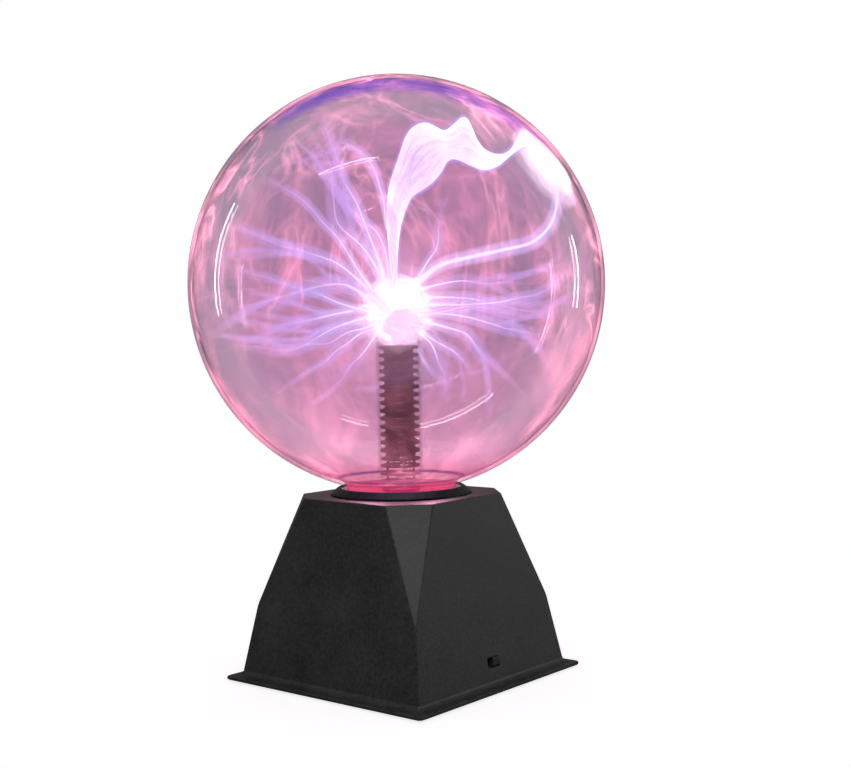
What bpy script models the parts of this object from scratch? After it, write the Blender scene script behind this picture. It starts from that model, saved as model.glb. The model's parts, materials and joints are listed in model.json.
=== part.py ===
"""Plasma ball: a gas-filled glass globe on a tapered square base, as its separate parts.

Metres, +Z up. The origin is on the surface that the feet stand on, under the middle of the
globe. +X is the face with the slide switch and -X is the face with the power inlet.
"""

import math

import bmesh
import bpy
from mathutils import Matrix, Vector
from mathutils.geometry import interpolate_bezier

mm = 0.001
GAP = 0.3 * mm  # clearance between pieces that touch
X_AXIS = (0, math.radians(90), 0)  # turns a piece made along Z so that it lies along X
Y_AXIS = (math.radians(90), 0, 0)  # turns a piece made along Z so that it lies along -Y

# Globe: a sphere blown on to a short neck
GLOBE_RADIUS = 101.5 * mm
GLOBE_CENTRE_Z = 192.5 * mm
GLASS_WALL = 1.9 * mm
NECK_RADIUS = 28.5 * mm
NECK_FILLET = 4.0 * mm
NECK_LOW_Z = 68.0 * mm

# Stem: an upside-down glass bottle, open at the bottom, that carries the electrode
STEM_RADIUS = 10.8 * mm
STEM_WALL = 0.9 * mm
BULB_RADIUS = 14.8 * mm
BULB_CENTRE_Z = 180.4 * mm
FLARE_LOW_Z = 70.0 * mm
FLARE_HEIGHT = 9.0 * mm
TIP_RADIUS = 2.6 * mm
TIP_LENGTH = 11.0 * mm

# Conductors inside the stem
SLEEVE_WALL = 0.5 * mm
SLEEVE_LOW_Z = 80.0 * mm
SLEEVE_TOP_Z = 163.0 * mm
CORE_RADIUS = 7.8 * mm
CORE_WALL = 1.0 * mm
CORE_LOW_Z = 104.0 * mm
SPRING_RADIUS = 2.3 * mm
SPRING_WIRE = 0.9 * mm
SPRING_TURNS = 13
SPRING_LOW_Z = 80.0 * mm
SPRING_TOP_Z = 121.0 * mm
PLUG_TOP_Z = 78.0 * mm
LEAD_RADIUS = 1.5 * mm

# Base shell: flared lip, tapered body, and four triangular facets that cut the top corners
LIP_HALF = 62.5 * mm
LIP_LOW_Z = 1.0 * mm
LIP_THICKNESS = 1.7 * mm
LIP_CORNER = 2.2 * mm
BODY_LOW_Z = 4.7 * mm
BODY_LOW_HALF = 56.3 * mm
BODY_TOP_Z = 90.0 * mm
BODY_TOP_HALF = 41.8 * mm
TAPER = (BODY_LOW_HALF - BODY_TOP_HALF) / (BODY_TOP_Z - BODY_LOW_Z)
CORNER_CUT = 15.7 * mm
FACET_LOW_Z = 36.4 * mm
EDGE_RADIUS = 0.5 * mm
SHELL_WALL = 2.2 * mm
TOP_WALL = 3.0 * mm
FOOT_FILLET = 3.1 * mm  # between the lip and the body

# Collar: trim ring round the neck, pulled down on to the shell by a ring inside it
COLLAR_INNER = NECK_RADIUS + 1.3 * mm
COLLAR_SKIRT = 33.5 * mm
COLLAR_RADIUS = 34.7 * mm
COLLAR_TOP_Z = 93.8 * mm
SKIRT_LOW_Z = 84.3 * mm
RETAINER_RADIUS = 38.5 * mm
RETAINER_LOW_Z = 80.0 * mm
RETAINER_SCREWS = 3

# Bottom cover, feet and circuit board
COVER_HALF = 54.0 * mm
COVER_WALL = 2.2 * mm
FOOT_RADIUS = 5.5 * mm
FOOT_HEIGHT = 1.6 * mm
FOOT_PLACE = 45.5 * mm
COVER_SCREW_PLACE = (36.0 * mm, 47.8 * mm)
BOSS_RADIUS = 3.6 * mm
BOSS_TOP_Z = 24.0 * mm
BOARD_HALF = (49.0 * mm, 37.0 * mm)
BOARD_LOW_Z = 8.0 * mm
BOARD_THICKNESS = 1.6 * mm
BOARD_SCREW_PLACE = (44.5 * mm, 32.5 * mm)
POST_RADIUS = 3.0 * mm
ON_BOARD_Z = BOARD_LOW_Z + BOARD_THICKNESS + GAP

# Self-tapping screws
SCREW_RADIUS = 1.2 * mm
SCREW_HEAD_RADIUS = 2.5 * mm
SCREW_HEAD_HEIGHT = 1.3 * mm

# Slide switch, on the +X face: three positions, one step apart
SWITCH_Y = 0.6 * mm
SWITCH_Z = 13.4 * mm
SWITCH_STEP = 2.0 * mm
SLOT_LENGTH = 9.3 * mm
SLOT_HEIGHT = 5.0 * mm
KNOB_LENGTH = 4.6 * mm
KNOB_HEIGHT = 4.0 * mm
KNOB_FACE_X = 55.0 * mm
CASE_FACE_X = 51.6 * mm
CASE_DEPTH = 6.0 * mm
CASE_LENGTH = 14.0 * mm
CASE_HEIGHT = 7.0 * mm
CASE_WALL = 0.5 * mm
CARRIAGE_LENGTH = 8.2 * mm
CARRIAGE_HEIGHT = 5.3 * mm
CARRIAGE_DEPTH = 2.0 * mm
TERMINALS = 4
TERMINAL_PITCH = 2.5 * mm

# Power inlet, on the -X face
JACK_Z = 16.0 * mm
JACK_FACE_X = -50.9 * mm
JACK_LENGTH = 13.0 * mm
JACK_WIDTH = 9.0 * mm
JACK_BORE_RADIUS = 3.2 * mm
JACK_BORE_DEPTH = 9.0 * mm
JACK_PIN_RADIUS = 1.0 * mm
JACK_PIN_TIP_X = -49.9 * mm
JACK_HOLE_RADIUS = 4.0 * mm

# High-voltage transformer: a ferrite window frame with a winding on each upright
CORE_LENGTH = 42.0 * mm
CORE_DEPTH = 12.0 * mm
CORE_HEIGHT = 36.0 * mm
CORE_LEG = 10.0 * mm
CORE_YOKE = 8.0 * mm
WINDING_HOLE = 8.2 * mm
SECONDARY_RADIUS = 12.5 * mm
PRIMARY_RADIUS = 10.3 * mm

CORNERS = ((1, 1), (-1, 1), (-1, -1), (1, -1))


# ---------------------------------------------------------------- modelling tools


def clear_scene():
    for obj in list(bpy.data.objects):
        bpy.data.objects.remove(obj)


def finish(name, colour, roughness, metallic=0.0, transmission=0.0):
    """A plain material of this colour."""
    material = bpy.data.materials.new(name)
    material.use_nodes = True
    shader = material.node_tree.nodes["Principled BSDF"]
    shader.inputs["Base Color"].default_value = (*colour, 1.0)
    shader.inputs["Roughness"].default_value = roughness
    shader.inputs["Metallic"].default_value = metallic
    shader.inputs["Transmission Weight"].default_value = transmission
    return material


def add_object(name, bm, material, location=(0, 0, 0), rotation=(0, 0, 0), parent=None):
    """Turns a bmesh into a named object, shaded smooth except across its sharp edges."""
    bmesh.ops.recalc_face_normals(bm, faces=bm.faces)
    mesh = bpy.data.meshes.new(name)
    bm.to_mesh(mesh)
    bm.free()
    mesh.materials.append(material)
    mesh.shade_smooth()
    mesh.set_sharp_from_angle(angle=math.radians(35))
    obj = bpy.data.objects.new(name, mesh)
    bpy.context.scene.collection.objects.link(obj)
    obj.location = location
    obj.rotation_euler = rotation
    obj.parent = parent
    return obj


def boolean(target, other, operation="DIFFERENCE"):
    """Cuts, joins or intersects target with other, which becomes a hidden helper."""
    modifier = target.modifiers.new(f"{operation.title()} {other.name}", "BOOLEAN")
    modifier.operation = operation
    modifier.object = other
    other.hide_render = True
    other.display_type = "WIRE"


def arc(radius, height, size, start, end, count):
    """Points of (radius, height) on an arc about a centre, with angles in degrees from outward."""
    angles = [math.radians(start + (end - start) * i / count) for i in range(count + 1)]
    return [(radius + size * math.cos(a), height + size * math.sin(a)) for a in angles]


def turned(outline, steps):
    """A solid spun about Z from an outline that is closed, or that starts and ends on the axis."""
    bm = bmesh.new()
    verts = [bm.verts.new((radius, 0, height)) for radius, height in outline]
    edges = [bm.edges.new(pair) for pair in zip(verts, verts[1:])]
    if outline[0][0] > 0:
        edges.append(bm.edges.new((verts[-1], verts[0])))
    bmesh.ops.spin(
        bm, geom=verts + edges, cent=(0, 0, 0), axis=(0, 0, 1), angle=math.tau, steps=steps
    )
    bmesh.ops.remove_doubles(bm, verts=bm.verts, dist=0.001 * mm)
    return bm


def tube(inner, outer, low, high):
    """Outline of a plain ring or tube."""
    return [(inner, low), (outer, low), (outer, high), (inner, high)]


def rod(radius, low, high):
    """Outline of a plain solid cylinder."""
    return [(0, low), (radius, low), (radius, high), (0, high)]


def add_box(bm, size, centre, bevel=0.0):
    """A box of this size about centre, with rounded edges where bevel is given."""
    place = Matrix.Translation(centre) @ Matrix.Diagonal((*size, 1))
    made = bmesh.ops.create_cube(bm, size=1, matrix=place)
    if bevel:
        edges = {edge for vert in made["verts"] for edge in vert.link_edges}
        bmesh.ops.bevel(
            bm, geom=list(edges), offset=bevel, segments=1, profile=0.5, affect="EDGES"
        )


def box(size, centre, bevel=0.0):
    bm = bmesh.new()
    add_box(bm, size, centre, bevel)
    return bm


def add_rod(bm, radius, low, high, centre, steps=16):
    """A cylinder along Z about the point centre, (x, y)."""
    place = Matrix.Translation((*centre, (low + high) / 2))
    bmesh.ops.create_cone(
        bm, cap_ends=True, segments=steps, radius1=radius, radius2=radius, depth=high - low, matrix=place
    )


def square_ring(half, corner, height, segments=4):
    """Points round a square with rounded corners."""
    points = []
    for quarter, (x_sign, y_sign) in enumerate(CORNERS):
        for i in range(segments + 1):
            angle = math.radians(90) * (quarter + i / segments)
            x = x_sign * (half - corner) + corner * math.cos(angle)
            y = y_sign * (half - corner) + corner * math.sin(angle)
            points.append((x, y, height))
    return points


def lofted(rings):
    """A closed solid through rings of points that all have the same count."""
    bm = bmesh.new()
    rows = [[bm.verts.new(point) for point in ring] for ring in rings]
    bm.faces.new(rows[0])
    bm.faces.new(rows[-1])
    for lower, upper in zip(rows, rows[1:]):
        for i in range(len(lower)):
            bm.faces.new((lower[i - 1], lower[i], upper[i], upper[i - 1]))
    return bm


def swept(points, radius, sides):
    """A round wire of this radius along points, with flat ends."""
    bm = bmesh.new()
    rows = []
    side = None
    for i, point in enumerate(points):
        ahead = (points[min(i + 1, len(points) - 1)] - points[max(i - 1, 0)]).normalized()
        side = side or ahead.orthogonal()
        side = (side - ahead * side.dot(ahead)).normalized()
        other = ahead.cross(side)
        turns = [math.tau * k / sides for k in range(sides)]
        ring = [point + (side * math.cos(t) + other * math.sin(t)) * radius for t in turns]
        rows.append([bm.verts.new(place) for place in ring])
    for before, after in zip(rows, rows[1:]):
        for k in range(sides):
            bm.faces.new((before[k - 1], before[k], after[k], after[k - 1]))
    bm.faces.new(rows[0])
    bm.faces.new(rows[-1])
    return bm


def add_screw(name, length, location, material, rotation=(0, 0, 0)):
    """A pan-head screw whose shank runs up from its head, with a cross recess in the head."""
    edge = 0.3 * mm
    outline = [
        (0, -SCREW_HEAD_HEIGHT),
        (SCREW_HEAD_RADIUS - edge, -SCREW_HEAD_HEIGHT),
        (SCREW_HEAD_RADIUS, -SCREW_HEAD_HEIGHT + edge),
        (SCREW_HEAD_RADIUS, 0),
        (SCREW_RADIUS, 0),
        (SCREW_RADIUS, length - SCREW_RADIUS),
        (0, length),
    ]
    screw = add_object(name, turned(outline, 12), material, location, rotation)
    arm = (2.6 * mm, 0.6 * mm, 1.2 * mm)
    cross = box(arm, (0, 0, 0))
    cutter = add_object(name + "_recess", cross, material, (0, 0, -SCREW_HEAD_HEIGHT), parent=screw)
    across = add_object(
        name + "_recess_across", box((arm[1], arm[0], arm[2]), (0, 0, 0)), material, parent=cutter
    )
    boolean(cutter, across, "UNION")
    boolean(screw, cutter)
    return screw


# ---------------------------------------------------------------- glass and electrode


def add_globe(glass):
    """The outer sphere, a fillet into the neck, and the neck's open lower end."""

    def half_outline(radius, neck, fillet, end_z):
        """Sphere, fillet and neck of one surface, from the top of the globe to end_z."""
        across = neck + fillet
        fillet_z = GLOBE_CENTRE_Z - math.sqrt((radius + fillet) ** 2 - across**2)
        meet = math.degrees(math.atan2(fillet_z - GLOBE_CENTRE_Z, across))
        sphere = arc(0, GLOBE_CENTRE_Z, radius, 90, 0, 8)
        sphere += arc(0, GLOBE_CENTRE_Z, radius, 0, meet, 6)[1:]
        turn = arc(across, fillet_z, fillet, 180 + meet, 180, 3)
        return [(0, sphere[0][1])] + sphere[1:] + turn[1:] + [(neck, end_z)]

    outer = half_outline(GLOBE_RADIUS, NECK_RADIUS, NECK_FILLET, NECK_LOW_Z)
    inner = half_outline(
        GLOBE_RADIUS - GLASS_WALL, NECK_RADIUS - GLASS_WALL, NECK_FILLET + GLASS_WALL, NECK_LOW_Z
    )
    add_object("globe_glass", turned(outer + inner[::-1], 36), glass)


def add_stem(glass):
    """The bulb, its tube, the flare that closes the neck, and the sealed pumping tip under it."""

    def half_outline(bulb, pipe, flare, low_z):
        """Bulb, tube and flare of one surface, down to the rim of the flare."""
        meet = -math.degrees(math.acos(pipe / bulb))
        sphere = arc(0, BULB_CENTRE_Z, bulb, 90, meet, 8)
        across = flare - pipe
        turn = [
            (pipe + across * (1 - math.cos(a)), low_z + FLARE_HEIGHT * (1 - math.sin(a)))
            for a in (math.radians(step) for step in (0, 30, 60, 90))
        ]
        return [(0, sphere[0][1])] + sphere[1:] + turn

    rim = NECK_RADIUS - GLASS_WALL - GAP - 0.1 * mm
    outer = half_outline(BULB_RADIUS, STEM_RADIUS, rim, FLARE_LOW_Z)
    inner = half_outline(
        BULB_RADIUS - STEM_WALL, STEM_RADIUS - STEM_WALL, rim, FLARE_LOW_Z - STEM_WALL
    )
    stem = add_object("stem_glass", turned(outer + inner[::-1], 24), glass)
    tip_place = 19.0 * mm
    low = FLARE_LOW_Z - TIP_LENGTH
    point = [(0, low), (TIP_RADIUS * 0.6, low + 1.5 * mm), (TIP_RADIUS, low + 5 * mm)]
    nipple = turned(point + [(TIP_RADIUS, FLARE_LOW_Z + 0.3 * mm), (0, FLARE_LOW_Z + 0.3 * mm)], 12)
    tip = add_object("pumping_tip", nipple, glass, (0, -tip_place, 0))
    boolean(stem, tip, "UNION")


def add_conductors(wool, wire, steel, silicone, lead_skin):
    """What carries the high voltage up the stem."""
    bore = STEM_RADIUS - STEM_WALL
    sleeve = bore - GAP - 0.05 * mm
    ball = BULB_RADIUS - STEM_WALL - GAP
    outline = arc(0, BULB_CENTRE_Z, ball, -90, 90, 8)
    outline = [(0, outline[0][1])] + outline[1:-1] + [(0, outline[-1][1])]
    add_object("electrode_ball", turned(outline, 20), wool)
    outline = tube(sleeve - SLEEVE_WALL, sleeve, SLEEVE_LOW_Z, SLEEVE_TOP_Z)
    add_object("mesh_sleeve", turned(outline, 24), wire)
    outline = tube(CORE_RADIUS - CORE_WALL, CORE_RADIUS, CORE_LOW_Z, SLEEVE_TOP_Z)
    add_object("mesh_core", turned(outline, 20), wire)

    per_turn = 10
    rise = (SPRING_TOP_Z - SPRING_LOW_Z - SPRING_WIRE) / (SPRING_TURNS * per_turn)
    coil = []
    for i in range(SPRING_TURNS * per_turn + 1):
        angle = math.tau * i / per_turn
        height = SPRING_LOW_Z + SPRING_WIRE / 2 + rise * i
        coil.append(Vector((SPRING_RADIUS * math.cos(angle), SPRING_RADIUS * math.sin(angle), height)))
    add_object("contact_spring", swept(coil, SPRING_WIRE / 2, 5), steel)

    hole = LEAD_RADIUS + GAP
    flange_low = 66.0 * mm
    flange_top = FLARE_LOW_Z - STEM_WALL - GAP
    shoulder = 14.0 * mm
    outline = [(hole, flange_low), (shoulder, flange_low), (shoulder, flange_top)]
    outline += [(sleeve, flange_top), (sleeve, PLUG_TOP_Z), (hole, PLUG_TOP_Z)]
    add_object("stem_plug", turned(outline, 24), silicone)
    add_lead(lead_skin)


def add_lead(material):
    """High-voltage lead, from the side of the secondary winding up into the plug of the stem."""
    start = Vector((-16.0 * mm, SECONDARY_RADIUS + 2 * GAP, 28.0 * mm))
    out = start + Vector((0, 9.0 * mm, 0))
    middle = Vector((-13.0 * mm, 20.0 * mm, 44.0 * mm))
    lift = Vector((1.5 * mm, -1.0 * mm, 6.0 * mm))
    under = Vector((0, 0, 62.0 * mm))
    below = under - Vector((0, 0, 9.0 * mm))
    route = [*interpolate_bezier(start, out, middle - lift, middle, 9)]
    route += interpolate_bezier(middle, middle + lift * 1.5, below, under, 9)[1:]
    route.append(Vector((0, 0, PLUG_TOP_Z + 1.0 * mm)))
    curve = bpy.data.curves.new("high_voltage_lead", "CURVE")
    curve.dimensions = "3D"
    curve.bevel_depth = LEAD_RADIUS
    curve.bevel_resolution = 2
    curve.use_fill_caps = True
    curve.materials.append(material)
    spline = curve.splines.new("POLY")
    spline.points.add(len(route) - 1)
    for point, place in zip(spline.points, route):
        point.co = (*place, 1)
    lead = bpy.data.objects.new("high_voltage_lead", curve)
    bpy.context.scene.collection.objects.link(lead)


# ---------------------------------------------------------------- base


def wall_half(z):
    """Half the body's width at a height."""
    return BODY_LOW_HALF - TAPER * (z - BODY_LOW_Z)


def body(inset, low, high):
    """The tapered body with its four corner facets, every face moved in by inset."""
    cut_rate = CORNER_CUT / (BODY_TOP_Z - FACET_LOW_Z)
    facet_taper = (2 * TAPER + cut_rate) / math.sqrt(2)
    side_inset = inset * math.hypot(1, TAPER)
    cut_change = math.sqrt(2) * inset * math.hypot(1, facet_taper) - 2 * side_inset

    def half(z):
        return wall_half(z) - side_inset

    apex = FACET_LOW_Z - cut_change / cut_rate
    short = half(high) - cut_rate * (high - FACET_LOW_Z) - cut_change
    bm = bmesh.new()
    for x_sign, y_sign in CORNERS:
        for x, y, z in (
            (half(low), half(low), low),
            (half(apex), half(apex), apex),
            (short, half(high), high),
            (half(high), short, high),
        ):
            bm.verts.new((x_sign * x, y_sign * y, z))
    bmesh.ops.convex_hull(bm, input=bm.verts)
    flat = math.radians(0.5)
    bmesh.ops.dissolve_limit(bm, angle_limit=flat, verts=bm.verts, edges=bm.edges)
    return bm


def rounded_body(low, high):
    """The body with its upright and top edges slightly rounded."""
    bm = body(0, low, high)
    edges = [e for e in bm.edges if max(vert.co.z for vert in e.verts) > low + mm]
    bmesh.ops.bevel(
        bm, geom=edges, offset=EDGE_RADIUS, segments=2, profile=0.5, affect="EDGES"
    )
    return bm


def lip():
    """The flared lip round the foot of the body, with a hollow fillet up to the wall."""
    top = LIP_LOW_Z + LIP_THICKNESS
    edge = 0.4 * mm
    fillet_foot = wall_half(top + FOOT_FILLET) + FOOT_FILLET
    profile = [
        (LIP_HALF - edge, LIP_LOW_Z),
        (LIP_HALF, LIP_LOW_Z + edge),
        (LIP_HALF, top - edge),
        (LIP_HALF - edge, top),
    ]
    profile += arc(fillet_foot, top + FOOT_FILLET + 0.2 * mm, FOOT_FILLET, 270, 180, 5)
    inside = 1.0 * mm
    profile.append((profile[-1][0] - inside, profile[-1][1]))
    corner_loss = LIP_CORNER / (LIP_HALF - profile[-1][0]) * 0.8
    rings = [
        square_ring(half, LIP_CORNER - corner_loss * (LIP_HALF - half), z) for half, z in profile
    ]
    return lofted(rings)


def add_shell(plastic):
    shell = add_object("base_shell", rounded_body(LIP_LOW_Z + 0.8 * mm, BODY_TOP_Z), plastic)
    boolean(shell, add_object("shell_lip", lip(), plastic), "UNION")
    hollow = body(SHELL_WALL, -2 * mm, BODY_TOP_Z - TOP_WALL)
    boolean(shell, add_object("shell_hollow", hollow, plastic))

    bosses = bmesh.new()
    ribs = bmesh.new()
    pilots = bmesh.new()
    x, y = COVER_SCREW_PLACE
    low = LIP_LOW_Z + COVER_WALL + GAP
    rib = (1.6 * mm, 10.0 * mm, BOSS_TOP_Z - low - 3 * mm)
    for x_sign, y_sign in CORNERS:
        add_rod(bosses, BOSS_RADIUS, low, BOSS_TOP_Z, (x_sign * x, y_sign * y))
        centre = (x_sign * x, y_sign * (y + rib[1] / 2), low + rib[2] / 2 + 1.5 * mm)
        add_box(ribs, rib, centre)
        add_rod(pilots, SCREW_RADIUS + GAP, 0, BOSS_TOP_Z - 7 * mm, (x_sign * x, y_sign * y), 12)
    bosses = add_object("shell_bosses", bosses, plastic)
    boolean(bosses, add_object("shell_ribs", ribs, plastic), "UNION")
    inside = add_object("inside_of_shell", body(SHELL_WALL / 2, -2 * mm, BODY_TOP_Z), plastic)
    boolean(bosses, inside, "INTERSECT")
    boolean(shell, bosses, "UNION")
    boolean(shell, add_object("shell_pilots", pilots, plastic))

    neck_hole = turned(rod(COLLAR_SKIRT + GAP, BODY_TOP_Z - 6 * mm, BODY_TOP_Z + 4 * mm), 36)
    boolean(shell, add_object("neck_hole", neck_hole, plastic))
    through = 10 * mm
    slot = box((through, SLOT_LENGTH, SLOT_HEIGHT), (wall_half(SWITCH_Z), SWITCH_Y, SWITCH_Z), 0.4 * mm)
    boolean(shell, add_object("switch_slot", slot, plastic))
    inlet = turned(rod(JACK_HOLE_RADIUS, -through / 2, through / 2), 20)
    place = (-wall_half(JACK_Z), 0, JACK_Z)
    boolean(shell, add_object("inlet_hole", inlet, plastic, place, X_AXIS))


def add_collar(plastic, sealant, plate, screw):
    """Trim ring on the shell, sealant between it and the neck, and the ring that retains it."""
    foot = BODY_TOP_Z + GAP
    outline = [
        (COLLAR_INNER, SKIRT_LOW_Z),
        (COLLAR_SKIRT, SKIRT_LOW_Z),
        (COLLAR_SKIRT, foot),
        (COLLAR_RADIUS, foot),
        (COLLAR_RADIUS, foot + 0.7 * mm),
        (COLLAR_INNER + 1.9 * mm, COLLAR_TOP_Z - 0.5 * mm),
        (COLLAR_INNER + 0.9 * mm, COLLAR_TOP_Z),
        (COLLAR_INNER, COLLAR_TOP_Z - 0.3 * mm),
    ]
    collar = add_object("collar_ring", turned(outline, 36), plastic)
    outline = tube(NECK_RADIUS + GAP, COLLAR_INNER - GAP, SKIRT_LOW_Z + GAP, COLLAR_TOP_Z - mm)
    add_object("neck_sealant", turned(outline, 36), sealant)

    step = COLLAR_SKIRT + 2 * GAP
    outline = [
        (COLLAR_INNER, RETAINER_LOW_Z),
        (RETAINER_RADIUS, RETAINER_LOW_Z),
        (RETAINER_RADIUS, BODY_TOP_Z - TOP_WALL - GAP),
        (step, BODY_TOP_Z - TOP_WALL - GAP),
        (step, SKIRT_LOW_Z - GAP),
        (COLLAR_INNER, SKIRT_LOW_Z - GAP),
    ]
    retainer = add_object("retaining_ring", turned(outline, 36), plate)
    ring = (COLLAR_INNER + COLLAR_SKIRT) / 2
    length = 7.5 * mm
    for number in range(RETAINER_SCREWS):
        angle = math.radians(45) + math.tau * number / RETAINER_SCREWS
        place = (ring * math.cos(angle), ring * math.sin(angle))
        head_z = RETAINER_LOW_Z - GAP
        add_screw(f"retaining_screw_{number + 1}", length, (*place, head_z), screw)
        hole = bmesh.new()
        add_rod(hole, SCREW_RADIUS + GAP, RETAINER_LOW_Z - mm, head_z + length + GAP, place, 10)
        for piece, name in ((retainer, "ring"), (collar, "collar")):
            cutter = add_object(f"{name}_hole_{number + 1}", hole.copy(), plate)
            boolean(piece, cutter)
        hole.free()


def add_cover(plastic, rubber, screw):
    """Flat cover let into the shell's foot, with vents, board posts, feet and four screws."""
    top = LIP_LOW_Z + COVER_WALL
    corner = 1.5 * mm
    cover = lofted([square_ring(COVER_HALF, corner, z, 2) for z in (LIP_LOW_Z, top)])
    cover = add_object("bottom_cover", cover, plastic)

    posts = bmesh.new()
    holes = bmesh.new()
    x, y = BOARD_SCREW_PLACE
    for x_sign, y_sign in CORNERS:
        place = (x_sign * x, y_sign * y)
        add_rod(posts, POST_RADIUS, top - 0.8 * mm, BOARD_LOW_Z - GAP, place)
        add_rod(holes, SCREW_RADIUS + GAP, top - 0.1 * mm, BOARD_LOW_Z + mm, place, 12)
    boolean(cover, add_object("cover_posts", posts, plastic), "UNION")

    x, y = COVER_SCREW_PLACE
    head_top = LIP_LOW_Z + SCREW_HEAD_HEIGHT
    for x_sign, y_sign in CORNERS:
        place = (x_sign * x, y_sign * y)
        outline = [
            (0, 0),
            (SCREW_HEAD_RADIUS + GAP, 0),
            (SCREW_HEAD_RADIUS + GAP, head_top + GAP),
            (SCREW_RADIUS + GAP, head_top + GAP),
            (SCREW_RADIUS + GAP, top + mm),
            (0, top + mm),
        ]
        counterbore = turned(outline, 12)
        counterbore.transform(Matrix.Translation((*place, 0)))
        spare = bpy.data.meshes.new("counterbore")
        counterbore.to_mesh(spare)
        counterbore.free()
        holes.from_mesh(spare)
        bpy.data.meshes.remove(spare)
        recess = (x_sign * FOOT_PLACE, y_sign * FOOT_PLACE)
        add_rod(holes, FOOT_RADIUS + GAP, -mm, FOOT_HEIGHT + GAP, recess, 20)
    vents = 9
    pitch = 5.0 * mm
    for number in range(vents):
        centre = ((number - (vents - 1) / 2) * pitch, 0, LIP_LOW_Z)
        add_box(holes, (2.0 * mm, 34.0 * mm, 10.0 * mm), centre)
    boolean(cover, add_object("cover_holes", holes, plastic))

    edge = 0.4 * mm
    outline = [(0, 0), (FOOT_RADIUS - edge, 0), (FOOT_RADIUS, edge), (FOOT_RADIUS, FOOT_HEIGHT)]
    outline.append((0, FOOT_HEIGHT))
    for number, (x_sign, y_sign) in enumerate(CORNERS, 1):
        place = (x_sign * FOOT_PLACE, y_sign * FOOT_PLACE, 0)
        add_object(f"foot_{number}", turned(outline, 20), rubber, place)
        place = (x_sign * x, y_sign * y, head_top)
        add_screw(f"cover_screw_{number}", 12.0 * mm, place, screw)


# ---------------------------------------------------------------- electronics


def add_board(laminate, screw):
    size = (2 * BOARD_HALF[0], 2 * BOARD_HALF[1], BOARD_THICKNESS)
    board = box(size, (0, 0, BOARD_LOW_Z + BOARD_THICKNESS / 2))
    board = add_object("circuit_board", board, laminate)
    holes = bmesh.new()
    upside_down = (math.pi, 0, 0)
    for number, (x_sign, y_sign) in enumerate(CORNERS, 1):
        place = (x_sign * BOARD_SCREW_PLACE[0], y_sign * BOARD_SCREW_PLACE[1])
        add_rod(holes, SCREW_RADIUS + GAP, 0, ON_BOARD_Z + mm, place, 12)
        head = (*place, ON_BOARD_Z)
        add_screw(f"board_screw_{number}", 6.0 * mm, head, screw, upside_down)
    boolean(board, add_object("board_holes", holes, laminate))


def add_transformer(ferrite, resin, copper):
    middle = ON_BOARD_Z + CORE_HEIGHT / 2
    frame = box((CORE_LENGTH, CORE_DEPTH, CORE_HEIGHT), (0, 0, middle), 0.6 * mm)
    frame = add_object("transformer_core", frame, ferrite)
    window = (CORE_LENGTH - 2 * CORE_LEG, CORE_DEPTH * 2, CORE_HEIGHT - 2 * CORE_YOKE)
    boolean(frame, add_object("core_window", box(window, (0, 0, middle)), ferrite))
    low = ON_BOARD_Z + CORE_YOKE + GAP
    high = ON_BOARD_Z + CORE_HEIGHT - CORE_YOKE - GAP
    leg = (CORE_LENGTH - CORE_LEG) / 2
    cheek = 1.5 * mm

    def bobbin(outer):
        """A winding with a raised cheek at each end."""
        waist = outer - 1.2 * mm
        return [
            (WINDING_HOLE, low),
            (outer, low),
            (outer, low + cheek),
            (waist, low + cheek),
            (waist, high - cheek),
            (outer, high - cheek),
            (outer, high),
            (WINDING_HOLE, high),
        ]

    solid = tube(WINDING_HOLE, SECONDARY_RADIUS, low, high)
    add_object("secondary_winding", turned(solid, 24), resin, (-leg, 0, 0))
    add_object("primary_winding", turned(bobbin(PRIMARY_RADIUS), 20), copper, (leg, 0, 0))


def add_heat_sink(aluminium, moulding, screw):
    """Finned plate, with the power transistor screwed flat against it."""
    plate = (40.0 * mm, 2.6 * mm, 26.0 * mm)
    plate_y = -22.7 * mm
    middle = ON_BOARD_Z + plate[2] / 2
    sink = add_object("heat_sink", box(plate, (0, plate_y, middle)), aluminium)
    fins = bmesh.new()
    count = 6
    depth = 8.0 * mm
    thickness = 1.4 * mm
    for number in range(count):
        x = (number / (count - 1) - 0.5) * (plate[0] - thickness - 0.2 * mm)
        centre = (x, plate_y - plate[1] / 2 - depth / 2 + 0.8 * mm, middle)
        add_box(fins, (thickness, depth, plate[2] - 0.2 * mm), centre)
    boolean(sink, add_object("sink_fins", fins, aluminium), "UNION")

    face_y = plate_y + plate[1] / 2 + GAP
    tab = (10.0 * mm, 1.3 * mm, 15.5 * mm)
    tab_low = ON_BOARD_Z + 5.0 * mm
    centre = (0, face_y + tab[1] / 2, tab_low + tab[2] / 2)
    transistor = add_object("power_transistor", box(tab, centre), moulding)
    block = (10.2 * mm, 4.4 * mm, 9.0 * mm)
    centre = (0, face_y + block[1] / 2 + 0.4 * mm, tab_low + block[2] / 2 - 0.1 * mm)
    boolean(transistor, add_object("transistor_block", box(block, centre), moulding), "UNION")
    legs = bmesh.new()
    leg = (0.9 * mm, 0.7 * mm, 5.6 * mm)
    for number in (-1, 0, 1):
        add_box(legs, leg, (number * 2.54 * mm, face_y + 2.4 * mm, ON_BOARD_Z + leg[2] / 2))
    boolean(transistor, add_object("transistor_legs", legs, moulding), "UNION")
    screw_z = tab_low + tab[2] - 3.2 * mm
    hole = turned(rod(SCREW_RADIUS + GAP, -8 * mm, 8 * mm), 12)
    place = (0, face_y, screw_z)
    boolean(transistor, add_object("tab_hole", hole.copy(), moulding, place, Y_AXIS))
    boolean(sink, add_object("plate_hole", hole, moulding, place, Y_AXIS))
    head = (0, face_y + tab[1] + GAP, screw_z)
    add_screw("transistor_screw", 5.5 * mm, head, screw, Y_AXIS)


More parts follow.
